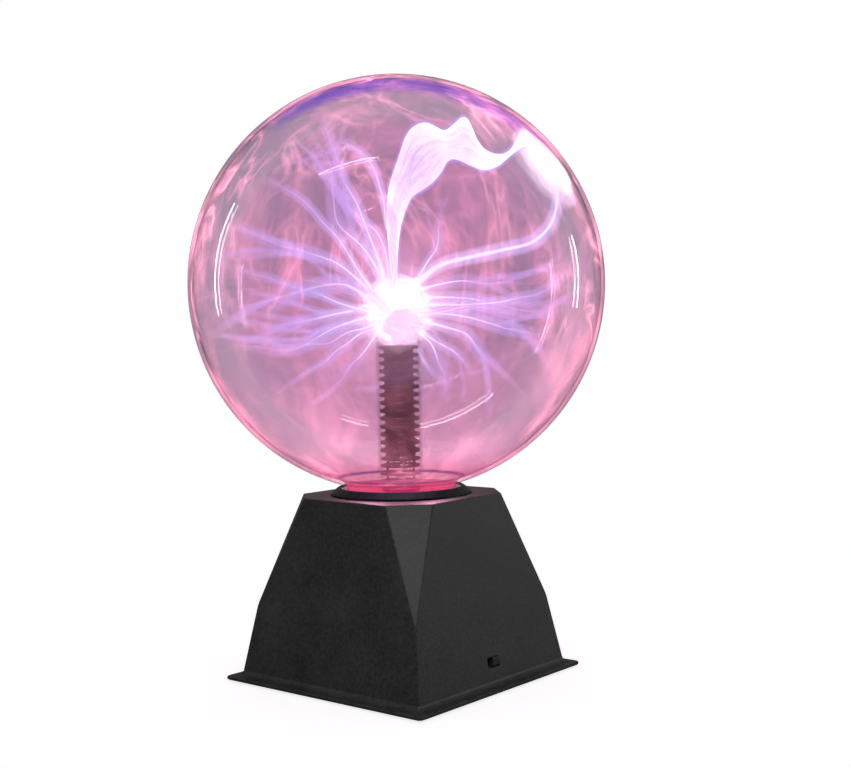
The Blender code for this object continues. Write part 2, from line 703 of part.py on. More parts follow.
def add_small_parts(sleeve, film, moulding, can, resistor):
    """Capacitors, control chip, microphone and resistors."""
    for number, (x, y, radius, height) in enumerate(
        ((33.0 * mm, 20.0 * mm, 6.5 * mm, 21.0 * mm), (18.0 * mm, 27.0 * mm, 4.0 * mm, 12.0 * mm)), 1
    ):
        groove = 0.5 * mm
        outline = [
            (0, ON_BOARD_Z),
            (radius, ON_BOARD_Z),
            (radius, ON_BOARD_Z + 1.6 * mm),
            (radius - groove, ON_BOARD_Z + 2.1 * mm),
            (radius, ON_BOARD_Z + 2.6 * mm),
            (radius, ON_BOARD_Z + height - groove),
            (radius - groove, ON_BOARD_Z + height),
            (0, ON_BOARD_Z + height),
        ]
        add_object(f"capacitor_{number}", turned(outline, 16), sleeve, (x, y, 0))
    size = (13.0 * mm, 6.0 * mm, 11.0 * mm)
    centre = (0, 27.0 * mm, ON_BOARD_Z + size[2] / 2)
    add_object("film_capacitor", box(size, centre, 0.8 * mm), film)

    size = (9.6 * mm, 6.4 * mm, 3.3 * mm)
    x, y = -20.0 * mm, 28.0 * mm
    lift = 0.8 * mm
    chip = add_object(
        "control_chip", box(size, (x, y, ON_BOARD_Z + lift + size[2] / 2), 0.3 * mm), moulding
    )
    legs = bmesh.new()
    for number in range(4):
        for side in (-1, 1):
            place = (x + (number - 1.5) * 2.2 * mm, y + side * (size[1] / 2), ON_BOARD_Z + 1.1 * mm)
            add_box(legs, (0.8 * mm, 1.1 * mm, 2.2 * mm), place)
    boolean(chip, add_object("chip_legs", legs, moulding), "UNION")

    radius, height, groove = 4.8 * mm, 5.5 * mm, 0.4 * mm
    outline = [
        (0, ON_BOARD_Z),
        (radius, ON_BOARD_Z),
        (radius, ON_BOARD_Z + height - groove),
        (radius - groove, ON_BOARD_Z + height),
        (0, ON_BOARD_Z + height),
    ]
    add_object("microphone", turned(outline, 16), can, (32.0 * mm, -16.0 * mm, 0))

    for number, x in enumerate((-34.0 * mm, -38.0 * mm), 1):
        reach = 5.5 * mm
        height = 2.0 * mm
        wire = [(-reach, 0), (-reach, height * 0.8), (-reach + 0.5 * mm, height), (0, height)]
        wire += [(reach - 0.5 * mm, height), (reach, height * 0.8), (reach, 0)]
        points = [Vector((x, 10.0 * mm + y, ON_BOARD_Z + z)) for y, z in wire]
        piece = add_object(f"resistor_{number}", swept(points, 0.35 * mm, 6), resistor)
        half, bulge, waist = 3.2 * mm, 1.3 * mm, 1.0 * mm
        outline = [(0, -half), (bulge, -half), (bulge, -half + 1.4 * mm), (waist, -half + 1.8 * mm)]
        outline += [(radius, -height) for radius, height in outline[::-1]]
        place = (x, 10.0 * mm, ON_BOARD_Z + height)
        barrel = add_object(f"resistor_barrel_{number}", turned(outline, 10), resistor, place, Y_AXIS)
        boolean(piece, barrel, "UNION")


def add_jack(plastic, nickel):
    """Barrel power inlet on the board, behind its hole in the shell."""
    height = 2 * (JACK_Z - ON_BOARD_Z)
    centre = (JACK_FACE_X + JACK_LENGTH / 2, 0, JACK_Z)
    block = box((JACK_LENGTH, JACK_WIDTH, height - 0.4 * mm), centre, 0.5 * mm)
    jack = add_object("dc_jack", block, plastic)
    mouth = turned(rod(JACK_BORE_RADIUS, -JACK_BORE_DEPTH, JACK_BORE_DEPTH), 20)
    boolean(jack, add_object("jack_bore", mouth, plastic, (JACK_FACE_X, 0, JACK_Z), X_AXIS))
    length = JACK_LENGTH + 1.0 * mm
    pin_hole = turned(rod(JACK_PIN_RADIUS + GAP, 0, length), 12)
    boolean(jack, add_object("pin_hole", pin_hole, plastic, (JACK_FACE_X, 0, JACK_Z), X_AXIS))
    tip = JACK_PIN_RADIUS * 0.5
    outline = [(0, 0), (tip, 0), (JACK_PIN_RADIUS, tip), (JACK_PIN_RADIUS, JACK_LENGTH - mm)]
    outline.append((0, JACK_LENGTH - mm))
    add_object("dc_jack_pin", turned(outline, 12), nickel, (JACK_PIN_TIP_X, 0, JACK_Z), X_AXIS)


def add_switch(steel, phenolic, plastic, brass):
    """Slide switch. The slider and its contact hang on an empty on the line that they slide along."""
    back_x = CASE_FACE_X - CASE_DEPTH
    middle = CASE_FACE_X - CASE_DEPTH / 2
    size = (CASE_DEPTH, CASE_LENGTH, CASE_HEIGHT)
    case = add_object("switch_frame", box(size, (middle, SWITCH_Y, SWITCH_Z)), steel)
    room = (CASE_DEPTH, CASE_LENGTH - 2 * CASE_WALL, CASE_HEIGHT - 2 * CASE_WALL)
    hollow = box(room, (middle - CASE_WALL, SWITCH_Y, SWITCH_Z))
    boolean(case, add_object("case_hollow", hollow, steel))
    window = box((4 * mm, SLOT_LENGTH, KNOB_HEIGHT + 2 * GAP), (CASE_FACE_X, SWITCH_Y, SWITCH_Z))
    boolean(case, add_object("case_window", window, steel))

    thickness = 1.2 * mm
    size = (thickness, room[1] - 2 * GAP, room[2] - 2 * GAP)
    base_x = back_x + thickness / 2 + GAP
    insulator = add_object("switch_base", box(size, (base_x, SWITCH_Y, SWITCH_Z)), phenolic)
    slits = bmesh.new()
    blade = (0.5 * mm, 1.2 * mm)
    pin_x = back_x - 1.2 * mm
    for number in range(TERMINALS):
        y = SWITCH_Y + (number - (TERMINALS - 1) / 2) * TERMINAL_PITCH
        hole = (3 * mm, blade[1] + 2 * GAP, blade[0] + 2 * GAP)
        add_box(slits, hole, (base_x, y, SWITCH_Z))
        upright = (blade[0], blade[1], SWITCH_Z - BOARD_LOW_Z - BOARD_THICKNESS - GAP)
        centre = (pin_x, y, SWITCH_Z + blade[0] / 2 - upright[2] / 2)
        name = f"switch_terminal_{number + 1}"
        pin = add_object(name, box(upright, centre), brass)
        end_x = base_x + thickness / 2 + 0.4 * mm
        reach = (end_x - pin_x, blade[1] - 0.02 * mm, blade[0] - 0.02 * mm)
        arm = box(reach, (pin_x + reach[0] / 2, y, SWITCH_Z))
        boolean(pin, add_object(name + "_arm", arm, brass), "UNION")
    boolean(insulator, add_object("base_slits", slits, phenolic))

    slide = bpy.data.objects.new("switch_slide", None)
    bpy.context.scene.collection.objects.link(slide)
    slide.location = (CASE_FACE_X, SWITCH_Y + SWITCH_STEP, SWITCH_Z)
    carriage_x = -CASE_WALL - GAP - CARRIAGE_DEPTH / 2
    size = (CARRIAGE_DEPTH, CARRIAGE_LENGTH, CARRIAGE_HEIGHT)
    slider = add_object("switch_slider", box(size, (carriage_x, 0, 0)), plastic, parent=slide)
    reach = KNOB_FACE_X - CASE_FACE_X
    start = -CASE_WALL - 1.0 * mm
    knob = box((reach - start, KNOB_LENGTH, KNOB_HEIGHT), ((reach + start) / 2, 0, 0), 0.25 * mm)
    boolean(slider, add_object("slider_knob", knob, plastic, parent=slide), "UNION")
    contact_x = carriage_x - CARRIAGE_DEPTH / 2 - GAP
    leaf = box((0.3 * mm, 5.0 * mm, 3.0 * mm), (contact_x - 0.15 * mm, 0, 0))
    contact = add_object("switch_contact", leaf, brass, parent=slide)
    dimple = box((0.5 * mm, 1.2 * mm, 1.0 * mm), (contact_x - 0.4 * mm, 0, 0))
    boolean(contact, add_object("contact_dimple", dimple, brass, parent=slide), "UNION")


# ---------------------------------------------------------------- assembly


def main():
    clear_scene()
    glass = finish("globe_glass", (0.95, 0.86, 0.92), 0.02, transmission=1.0)
    shell = finish("base_plastic", (0.018, 0.018, 0.02), 0.55)
    collar = finish("collar_plastic", (0.022, 0.012, 0.02), 0.4)
    knob = finish("knob_plastic", (0.02, 0.02, 0.022), 0.45)
    moulding = finish("black_moulding", (0.02, 0.02, 0.02), 0.4)
    ring = finish("retainer_plastic", (0.12, 0.12, 0.13), 0.5)
    rubber = finish("foot_rubber", (0.03, 0.03, 0.03), 0.85)
    silicone = finish("sealant", (0.75, 0.74, 0.72), 0.6)
    wool = finish("electrode_wool", (0.7, 0.68, 0.68), 0.35, metallic=0.8)
    wire = finish("mesh_wire", (0.42, 0.38, 0.42), 0.4, metallic=0.9)
    steel = finish("plated_steel", (0.72, 0.72, 0.72), 0.28, metallic=1.0)
    brass = finish("contact_brass", (0.75, 0.58, 0.28), 0.3, metallic=1.0)
    lead = finish("lead_insulation", (0.6, 0.04, 0.03), 0.45)
    laminate = finish("board_laminate", (0.42, 0.25, 0.08), 0.5)
    ferrite = finish("ferrite", (0.08, 0.08, 0.085), 0.7)
    resin = finish("winding_resin", (0.03, 0.03, 0.032), 0.3)
    copper = finish("copper_wire", (0.72, 0.32, 0.14), 0.35, metallic=0.9)
    aluminium = finish("sink_aluminium", (0.7, 0.71, 0.72), 0.35, metallic=1.0)
    sleeve = finish("capacitor_sleeve", (0.03, 0.05, 0.16), 0.35)
    film = finish("film_case", (0.62, 0.22, 0.05), 0.35)
    resistor = finish("resistor_coat", (0.62, 0.5, 0.33), 0.5)

    add_globe(glass)
    add_stem(glass)
    add_conductors(wool, wire, steel, silicone, lead)
    add_shell(shell)
    add_collar(collar, silicone, ring, steel)
    add_cover(shell, rubber, steel)
    add_board(laminate, steel)
    add_transformer(ferrite, resin, copper)
    add_heat_sink(aluminium, moulding, steel)
    add_small_parts(sleeve, film, moulding, aluminium, resistor)
    add_jack(moulding, steel)
    add_switch(steel, laminate, knob, brass)


main()
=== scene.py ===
"""Looks of the plasma ball: glass, glowing gas and discharges, moulded plastics, and what is inside.

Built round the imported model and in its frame: metres, +Z up, the switch on +X, the globe's middle
above the origin. Round pieces that show are turned again here, more finely than the model has them.
"""

import json
import math
import random

import bpy
from mathutils import Matrix, Vector, noise
from mathutils.geometry import interpolate_bezier

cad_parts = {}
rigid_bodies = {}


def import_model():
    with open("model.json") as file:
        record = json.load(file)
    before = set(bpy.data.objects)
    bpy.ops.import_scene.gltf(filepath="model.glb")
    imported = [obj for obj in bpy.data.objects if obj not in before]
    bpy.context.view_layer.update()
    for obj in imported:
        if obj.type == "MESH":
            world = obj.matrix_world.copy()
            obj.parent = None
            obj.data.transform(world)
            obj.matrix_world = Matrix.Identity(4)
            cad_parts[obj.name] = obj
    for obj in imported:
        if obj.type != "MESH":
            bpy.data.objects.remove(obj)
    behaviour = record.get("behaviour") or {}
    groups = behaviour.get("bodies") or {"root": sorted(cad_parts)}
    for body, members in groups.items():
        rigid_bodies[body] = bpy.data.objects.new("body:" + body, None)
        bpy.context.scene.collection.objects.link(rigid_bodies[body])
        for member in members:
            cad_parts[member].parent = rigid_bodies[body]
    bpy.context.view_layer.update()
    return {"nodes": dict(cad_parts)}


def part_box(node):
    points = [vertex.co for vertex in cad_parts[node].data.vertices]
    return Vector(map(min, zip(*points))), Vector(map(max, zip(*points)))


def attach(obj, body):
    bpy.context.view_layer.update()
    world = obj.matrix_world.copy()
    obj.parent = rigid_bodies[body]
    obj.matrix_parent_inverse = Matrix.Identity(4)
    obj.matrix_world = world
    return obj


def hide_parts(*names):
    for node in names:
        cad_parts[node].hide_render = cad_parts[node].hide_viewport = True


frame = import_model()

mm = 0.001

# Camera, where the photographer stood
CAMERA_PLACE = Vector((0.4324, -0.4995, 0.1664))
CAMERA_HEADING = math.radians(39.75)  # from +Y towards -X
CAMERA_PITCH = math.radians(-1.97)
CAMERA_ROLL = math.radians(-1.14)
CAMERA_LENS = 56.7

# Sizes that the model already has
low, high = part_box("globe_glass")
GLOBE_RADIUS = (high.x - low.x) / 2
GLOBE_MIDDLE = Vector((0, 0, high.z - GLOBE_RADIUS))
NECK_LOW_Z = low.z
low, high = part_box("electrode_ball")
BALL_RADIUS = (high.x - low.x) / 2
BALL_MIDDLE = (low + high) / 2
low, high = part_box("mesh_sleeve")
SLEEVE_LOW_Z = low.z
SLEEVE_TOP_Z = high.z
low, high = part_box("mesh_core")
CORE_RADIUS = (high.x - low.x) / 2
CORE_LOW_Z = low.z
low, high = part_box("contact_spring")
SPRING_LOW_Z = low.z
SPRING_TOP_Z = high.z
low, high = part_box("collar_ring")
COLLAR_TOP_Z = high.z

# Glass
GLASS_WALL = 1.9 * mm
NECK_RADIUS = 28.5 * mm
NECK_FILLET = 4.0 * mm
STEM_RADIUS = 10.8 * mm
STEM_WALL = 0.9 * mm
BULB_RADIUS = 14.8 * mm
FLARE_LOW_Z = 70.0 * mm
FLARE_HEIGHT = 9.0 * mm
GAS_RADIUS = GLOBE_RADIUS - GLASS_WALL - 0.4 * mm
VEIL_RADIUS = GLOBE_RADIUS - 0.25 * mm  # glass bends light so that the gas seems to fill its wall

# Wire mesh inside the stem
MESH_PITCH = 3.9 * mm  # one diamond of the mesh, and one step of the bands
SPRING_RADIUS = 2.3 * mm
SPRING_WIRE = 0.9 * mm
SPRING_TURNS = 13

# Discharges, drawn in the upright plane through the globe's axis that faces the camera:
# (across, up) in mm from the globe's middle, and how far each ends in front of the plane
PLANE_HEADING = math.radians(40.0)
ACROSS = Vector((math.cos(PLANE_HEADING), math.sin(PLANE_HEADING), 0))
TOWARDS = Vector((math.sin(PLANE_HEADING), -math.cos(PLANE_HEADING), 0))

RIBBON_UPPER = [
    (-2.9, 0.0), (-3.5, 10.0), (-4.3, 24.0), (-4.4, 38.0), (-2.7, 50.0), (1.6, 62.0), (5.2, 72.5),
    (9.2, 77.8), (14.6, 80.1), (19.0, 79.0), (24.6, 76.2), (29.1, 78.8), (33.6, 82.4),
    (36.5, 81.1), (38.8, 76.2), (40.6, 71.3), (43.9, 66.4), (48.3, 63.7), (53.1, 63.3),
    (57.0, 65.7), (60.1, 70.9), (62.6, 75.4), (66.4, 73.3), (73.6, 66.0), (81.0, 54.5),
]  # fmt: skip
RIBBON_LOWER = [
    (0.5, 0.0), (0.6, 9.0), (1.5, 20.7), (2.9, 29.4), (6.0, 38.5), (9.0, 43.3), (14.4, 46.6),
    (19.4, 50.4), (23.3, 55.2), (26.3, 60.0), (29.8, 60.9), (34.1, 59.3), (38.4, 57.1),
    (43.2, 55.3), (47.1, 55.7), (51.5, 57.5), (55.5, 60.8), (60.4, 64.6), (64.3, 66.5),
    (67.7, 64.5), (70.1, 61.0), (74.0, 55.5), (79.0, 49.5),
]  # fmt: skip
STREAMERS = [  # (points, share of the way to the glass in front of the plane, thickness)
    ([(7.7, -0.3), (12.1, 3.0), (21.9, 9.6), (37.1, 13.1), (52.2, 16.2), (65.8, 19.4),
      (74.2, 26.0), (78.2, 35.0), (79.5, 48.5)], 0.3, 1.35),
    ([(-12.8, -3.3), (-29.5, 11.6), (-56.0, 19.4), (-77.6, 31.9)], 0.8, 0.9),
    ([(-14.8, -5.7), (-27.3, 0.8), (-49.2, -5.0), (-71.2, -10.9)], 0.9, 1.2),
    ([(-15.4, -10.6), (-37.3, -15.0), (-56.8, -17.0), (-78.7, -21.4)], -0.7, 0.9),
    ([(-14.0, -15.5), (-30.1, -20.0), (-49.7, -30.3), (-78.8, -28.7)], 0.8, 0.9),
    ([(-10.7, -20.4), (-25.4, -27.4), (-42.6, -39.2), (-54.9, -46.2)], -0.9, 0.8),
    ([(-9.8, -22.8), (-19.8, -37.2), (-29.8, -51.5)], 0.9, 0.8),
    ([(-3.0, 1.3), (-7.4, 23.3), (-21.7, 38.1), (-38.2, 62.7), (-42.5, 83.1)], -0.9, 0.7),
    ([(-5.4, 0.4), (-14.8, 16.1), (-25.7, 28.5), (-28.8, 45.5), (-30.8, 65.0)], 0.9, 1.0),
    ([(-3.4, 28.0), (-11.5, 59.8), (-25.8, 74.6), (-38.0, 70.0)], -0.8, 0.7),
    ([(11.5, -2.4), (26.1, 0.7), (45.5, -2.1), (65.0, 0.0)], 0.9, 0.9),
    ([(13.9, -6.3), (30.8, -6.6), (59.9, -12.1), (88.9, -15.1)], -0.8, 1.0),
    ([(14.7, -13.6), (35.5, -16.4), (59.6, -24.2), (74.2, -25.5)], 0.8, 0.9),
    ([(14.6, -18.4), (32.9, -24.6), (44.8, -38.5), (56.7, -48.4)], -0.9, 1.0),
    ([(11.1, -23.2), (20.5, -38.0), (21.1, -57.4)], 0.9, 0.9),
    ([(12.1, -23.3), (32.6, -38.2), (37.3, -50.5)], -0.9, 0.7),
    ([(9.1, 1.1), (19.2, 17.9), (23.0, 37.2), (27.1, 49.3)], -0.9, 0.7),
]  # fmt: skip
CONTACT = (80.8, 61.2)  # the spot on the globe that is touched
RIBBON_STEPS = 120
RIBBON_SIDES = 20
BLOB_STEPS = 48
BACK_STREAMERS = 44
GOLDEN_TURN = math.pi * (3 - math.sqrt(5))
GLOWS = (  # how the names of the glowing pieces begin
    "gas", "discharge", "streamer", "electrode_glare", "electrode_pink", "contact",
    "top_glow", "neck_glow",
)  # fmt: skip

# Room and lamps. Sizes and distances in metres, strips by radiance, the others in watts
ROOM_FILL = 0.2
FLOOR_LIFT = 0.825
FLOOR_HALF = 40.0
TUBE_WIDTH = 0.022
LOW_TUBE_WIDTH = 0.0035
LOW_TUBE_REACH = 0.11
BASE_MIDDLE = Vector((0, 0, 60 * mm))
STEM_MIDDLE = Vector((0, 0, 110 * mm))


# ---------------------------------------------------------------- shape tools


def new_piece(name, points, faces, material=None, body="base", replaced=(), slot=None):
    """A mesh piece that rides on a body, shaded smooth."""
    mesh = bpy.data.meshes.new(name)
    mesh.from_pydata([tuple(point) for point in points], [], faces)
    mesh.validate()
    mesh.shade_smooth()
    if material:
        mesh.materials.append(material)
    obj = bpy.data.objects.new(name, mesh)
    bpy.context.scene.collection.objects.link(obj)
    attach(obj, body)
    if replaced:
        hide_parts(*replaced)
    return obj


def turned(outline, steps, start=0, closed=True):
    """Points and faces of an outline of (radius, height) turned about Z."""
    points, rows = [], []
    for radius, height in outline:
        if radius < 1e-9:
            rows.append([start + len(points)] * steps)
            points.append(Vector((0, 0, height)))
            continue
        row = []
        for step in range(steps):
            angle = math.tau * step / steps
            row.append(start + len(points))
            points.append(Vector((radius * math.cos(angle), radius * math.sin(angle), height)))
        rows.append(row)
    faces = []
    pairs = list(zip(rows, rows[1:]))
    if closed and outline[0][0] > 1e-9:
        pairs.append((rows[-1], rows[0]))
    for one, two in pairs:
        for step in range(steps):
            after = (step + 1) % steps
            corners = [one[step], one[after], two[after], two[step]]
            faces.append(tuple(dict.fromkeys(corners)))
    return points, faces


def arc(radius, height, size, start, end, count):
    """Points of (radius, height) on an arc, with angles in degrees from outward."""
    angles = [math.radians(start + (end - start) * i / count) for i in range(count + 1)]
    return [(radius + size * math.cos(a), height + size * math.sin(a)) for a in angles]


def skin(rings):
    """Faces of a tube, closed at both ends, through rings of point numbers."""
    faces = [tuple(rings[0][::-1])]
    for one, two in zip(rings, rings[1:]):
        for k in range(len(one)):
            after = (k + 1) % len(one)
            faces.append((one[k], one[after], two[after], two[k]))
    faces.append(tuple(rings[-1]))
    return faces


def keep_values(obj, title, values):
    """Keeps one number for each point on the mesh, for its material to read."""
    attribute = obj.data.attributes.new(title, "FLOAT", "POINT")
    attribute.data.foreach_set("value", values)


def tubes(name, paths, material, sides=8, **settings):
    """One piece of many tapered tubes. A path is a list of (point, radius, value); the value is
    kept on the mesh as the attribute "along"."""
    points, faces, values = [], [], []
    for path in paths:
        across = None
        rings = []
        for i, (place, radius, value) in enumerate(path):
            ahead = path[min(i + 1, len(path) - 1)][0] - path[max(i - 1, 0)][0]
            ahead.normalize()
            if across is None:
                across = ahead.orthogonal()
            across = (across - ahead * across.dot(ahead)).normalized()
            side = ahead.cross(across)
            rings.append(range(len(points), len(points) + sides))
            for k in range(sides):
                angle = math.tau * k / sides
                points.append(place + radius * (across * math.cos(angle) + side * math.sin(angle)))
                values.append(value)
        faces += skin(rings)
    obj = new_piece(name, points, faces, material, **settings)
    keep_values(obj, "along", values)
    return obj


def smooth_line(points, per_span):
    """Points of a smooth curve through these points."""
    points = [Vector(point) for point in points]
    slopes = []
    for i in range(len(points)):
        slopes.append((points[min(i + 1, len(points) - 1)] - points[max(i - 1, 0)]) / 6)
    line = [points[0]]
    for i in range(len(points) - 1):
        one, two = points[i], points[i + 1]
        span = (two - one).length
        lean = [slopes[i].copy(), slopes[i + 1].copy()]
        for slope in lean:
            if slope.length > span * 0.4:
                slope.length = span * 0.4
        line += interpolate_bezier(one, one + lean[0], two - lean[1], two, per_span + 1)[1:]
    return line


def in_plane(across, up, towards=0.0):
    """A point from its place in the plane that faces the camera, in mm from the globe's middle."""
    return GLOBE_MIDDLE + (ACROSS * across + Vector((0, 0, up)) + TOWARDS * towards) * mm


# ---------------------------------------------------------------- material tools


def add(tree, kind, values=None, **settings):
    """One node. values holds numbers, or sockets to link from, by input name or index."""
    made = tree.nodes.new("ShaderNode" + kind)
    for name, value in settings.items():
        setattr(made, name, value)
    for key, value in (values or {}).items():
        if isinstance(value, bpy.types.NodeSocket):
            tree.links.new(value, made.inputs[key])
        else:
            made.inputs[key].default_value = value
    return made


def maths(tree, operation, *values, clamp=False):
    """The result of a sum on numbers or sockets."""
    values = dict(enumerate(values))
    return add(tree, "Math", values, operation=operation, use_clamp=clamp).outputs[0]


def ramp(tree, factor, *stops):
    """A colour ramp; each stop is (position, colour), and a single number stands for a grey."""
    made = add(tree, "ValToRGB", {"Fac": factor})
    elements = made.color_ramp.elements
    while len(elements) < len(stops):
        elements.new(0.5)
    for element, (position, colour) in zip(elements, stops):
        element.position = position
        element.color = (colour,) * 3 + (1,) if isinstance(colour, (int, float)) else (*colour, 1)
    return made.outputs["Color"]


def blank(name):
    """A material with only its output node, and its tree."""
    material = bpy.data.materials.new(name)
    material.use_nodes = True
    tree = material.node_tree
    tree.nodes.clear()
    tree.nodes.new("ShaderNodeOutputMaterial")
    return material, tree


def show(tree, shader):
    """Sends a shader to the output."""
    output = next(n for n in tree.nodes if n.type == "OUTPUT_MATERIAL")
    tree.links.new(shader, output.inputs["Surface"])


def place_of(tree):
    """Coordinates that stay on the piece, in metres."""
    return add(tree, "TexCoord").outputs["Object"]


def cloud(tree, place, scale, detail=4.0, roughness=0.55, distortion=0.0):
    """Soft noise from 0 to 1, with features about 1 / scale metres apart."""
    values = {"Scale": scale, "Detail": detail, "Roughness": roughness, "Distortion": distortion}
    values["Vector"] = place
    return add(tree, "TexNoise", values).outputs["Fac"]


def height_of(tree, place):
    """The height of a place above the floor, in metres."""
    return add(tree, "SeparateXYZ", {0: place}).outputs["Z"]


def facing_of(tree):
    """0 where a surface faces the viewer, 1 at its outline."""
    return add(tree, "LayerWeight", {"Blend": 0.5}).outputs["Facing"]


def mix(tree, factor, one, two):
    """A colour mixed from two."""
    return add(tree, "Mix", {0: factor, 6: one, 7: two}, data_type="RGBA").outputs[2]


def moulded(name, dark, light, roughness, grain=0.9, bump=0.25, specular=0.35, metallic=0.0):
    """A moulded or cast surface: two close shades in soft patches, fine grain, uneven gloss."""
    material, tree = blank(name)
    place = place_of(tree)
    patches = cloud(tree, place, 38, 5)
    speckle = cloud(tree, place, 1000 / grain, 2, 0.7)
    shade = maths(tree, "MULTIPLY_ADD", speckle, 0.6, maths(tree, "MULTIPLY", patches, 0.45))
    colour = ramp(tree, shade, (0.38, dark), (0.68, light))
    gloss = ramp(tree, shade, (0.38, roughness * 0.85), (0.68, min(roughness * 1.15, 1)))
    relief = add(tree, "Bump", {"Height": speckle, "Strength": bump, "Distance": 0.1 * mm})
    shader = add(
        tree,
        "BsdfPrincipled",
        {"Base Color": colour, "Roughness": gloss, "Normal": relief.outputs[0]},
    )
    shader.inputs["Specular IOR Level"].default_value = specular
    shader.inputs["Metallic"].default_value = metallic
    show(tree, shader.outputs[0])
    return material


def see_through(name, edge_tint, reflectance, strength):
    """Thin clear glass: light goes straight through, and more is mirrored towards the edges."""
    material, tree = blank(name)
    facing = facing_of(tree)
    mirrored = maths(tree, "POWER", facing, 5.0)
    mirrored = maths(tree, "MULTIPLY_ADD", mirrored, strength * (1 - reflectance), reflectance, clamp=True)
    wipe = cloud(tree, place_of(tree), 60, 4)
    gloss = ramp(tree, wipe, (0.45, 0.0), (0.8, 0.12))
    edge = maths(tree, "POWER", facing, 14.0)
    tint = mix(tree, edge, (1, 1, 1, 1), (*edge_tint, 1))
    clear = add(tree, "BsdfTransparent", {"Color": tint})
    mirror = add(tree, "BsdfGlossy", {"Roughness": gloss})
    both = add(tree, "MixShader", {0: mirrored, 1: clear.outputs[0], 2: mirror.outputs[0]})
    show(tree, both.outputs[0])
    return material


def glow(tree, colour, strength, opacity):
    """Light of this colour over what is behind it."""
    light = add(tree, "Emission", {"Color": colour, "Strength": strength})
    clear = add(tree, "BsdfTransparent")
    both = add(tree, "MixShader", {0: opacity, 1: clear.outputs[0], 2: light.outputs[0]})
    show(tree, both.outputs[0])


def soft_edge(tree, power):
    """1 where a surface faces the viewer and 0 at its outline, as a round body of gas looks."""
    return maths(tree, "POWER", maths(tree, "SUBTRACT", 1.0, facing_of(tree)), power)


def no_lamp(material):
    """The surface is seen as bright, but the lamps inside the globe light what is round it."""
    material.cycles.emission_sampling = "NONE"
    return material


# ---------------------------------------------------------------- camera and light


def add_camera():
    """The photo's camera. Gives its right and ahead directions."""
    ahead = Vector(
        (
            -math.sin(CAMERA_HEADING) * math.cos(CAMERA_PITCH),
            math.cos(CAMERA_HEADING) * math.cos(CAMERA_PITCH),
            math.sin(CAMERA_PITCH),
        )
    )
    right = ahead.cross(Vector((0, 0, 1))).normalized()
    above = right.cross(ahead)
    rolled = right * math.cos(CAMERA_ROLL) + above * math.sin(CAMERA_ROLL)
    upward = above * math.cos(CAMERA_ROLL) - right * math.sin(CAMERA_ROLL)
    data = bpy.data.cameras.new("camera")
    data.lens = CAMERA_LENS
    data.sensor_width = 36
    data.clip_start = 0.01
    camera = bpy.data.objects.new("camera", data)
    turn = Matrix((rolled, upward, -ahead)).transposed().to_4x4()
    camera.matrix_world = Matrix.Translation(CAMERA_PLACE) @ turn
    bpy.context.scene.collection.objects.link(camera)
    bpy.context.scene.camera = camera
    return rolled, ahead


def place_lamp(lamp, place, aim, along, receivers):
    """Turns a lamp to its aim, and lets it light only these objects."""
    ahead = (aim - place).normalized()
    side = along.cross(-ahead).normalized()
    turn = Matrix((side, (-ahead).cross(side), -ahead)).transposed().to_4x4()
    lamp.matrix_world = Matrix.Translation(place) @ turn
    bpy.context.scene.collection.objects.link(lamp)
    lamp.light_linking.receiver_collection = receivers


def softbox(name, place, aim, size, power, receivers):
    """A square lamp with soft edges to its light."""
    data = bpy.data.lights.new(name, "AREA")
    data.size = size
    data.energy = power
    place_lamp(bpy.data.objects.new(name, data), place, aim, Vector((0, 0, 1)), receivers)


def strip(name, place, aim, along, length, radiance, receivers, width=TUBE_WIDTH):
    """A thin tube lamp, for the arcs that glass mirrors."""
    data = bpy.data.lights.new(name, "AREA")
    data.shape = "RECTANGLE"
    data.size = width
    data.size_y = length
    data.energy = radiance * math.pi * width * length
    place_lamp(bpy.data.objects.new(name, data), place, aim, along, receivers)


def low_strip(name, right, up, toward, spot, length, radiance, receivers):
    """A short tube lamp close to the globe, where the globe mirrors it at this spot of its disc."""
    across, rise = spot
    out = right * across + up * rise + toward * math.sqrt(1 - across**2 - rise**2)
    way = out * (2 * out.dot(toward)) - toward
    front = GLOBE_MIDDLE + out * GLOBE_RADIUS
    along = toward.cross(right * across + up * rise).normalized()
    strip(name, front + way * LOW_TUBE_REACH, front, along, length, radiance, receivers, LOW_TUBE_WIDTH)
    bpy.data.objects[name].visible_camera = False


def bulb(name, place, radius, power, colour, receivers):
    """A round lamp inside the globe."""
    data = bpy.data.lights.new(name, "POINT")
    data.shadow_soft_size = radius
    data.energy = power
    data.color = colour
    lamp = bpy.data.objects.new(name, data)
    lamp.location = place
    bpy.context.scene.collection.objects.link(lamp)
    lamp.light_linking.receiver_collection = receivers


def group(name, objects):
    """A collection of objects that a lamp lights."""
    made = bpy.data.collections.new(name)
    for obj in objects:
        made.objects.link(obj)
    return made


def add_room():
    """White to the camera, and a dimmer fill to everything else."""
    world = bpy.data.worlds.new("room")
    bpy.context.scene.world = world
    world.use_nodes = True
    tree = world.node_tree
    tree.nodes.clear()
    seen = add(tree, "Background", {"Color": (1, 1, 1, 1), "Strength": 1.0})
    fill = add(tree, "Background", {"Color": (1, 1, 1, 1), "Strength": ROOM_FILL})
    camera_ray = add(tree, "LightPath").outputs["Is Camera Ray"]
    both = add(tree, "MixShader", {0: camera_ray, 1: fill.outputs[0], 2: seen.outputs[0]})
    output = add(tree, "OutputWorld")
    tree.links.new(both.outputs[0], output.inputs["Surface"])


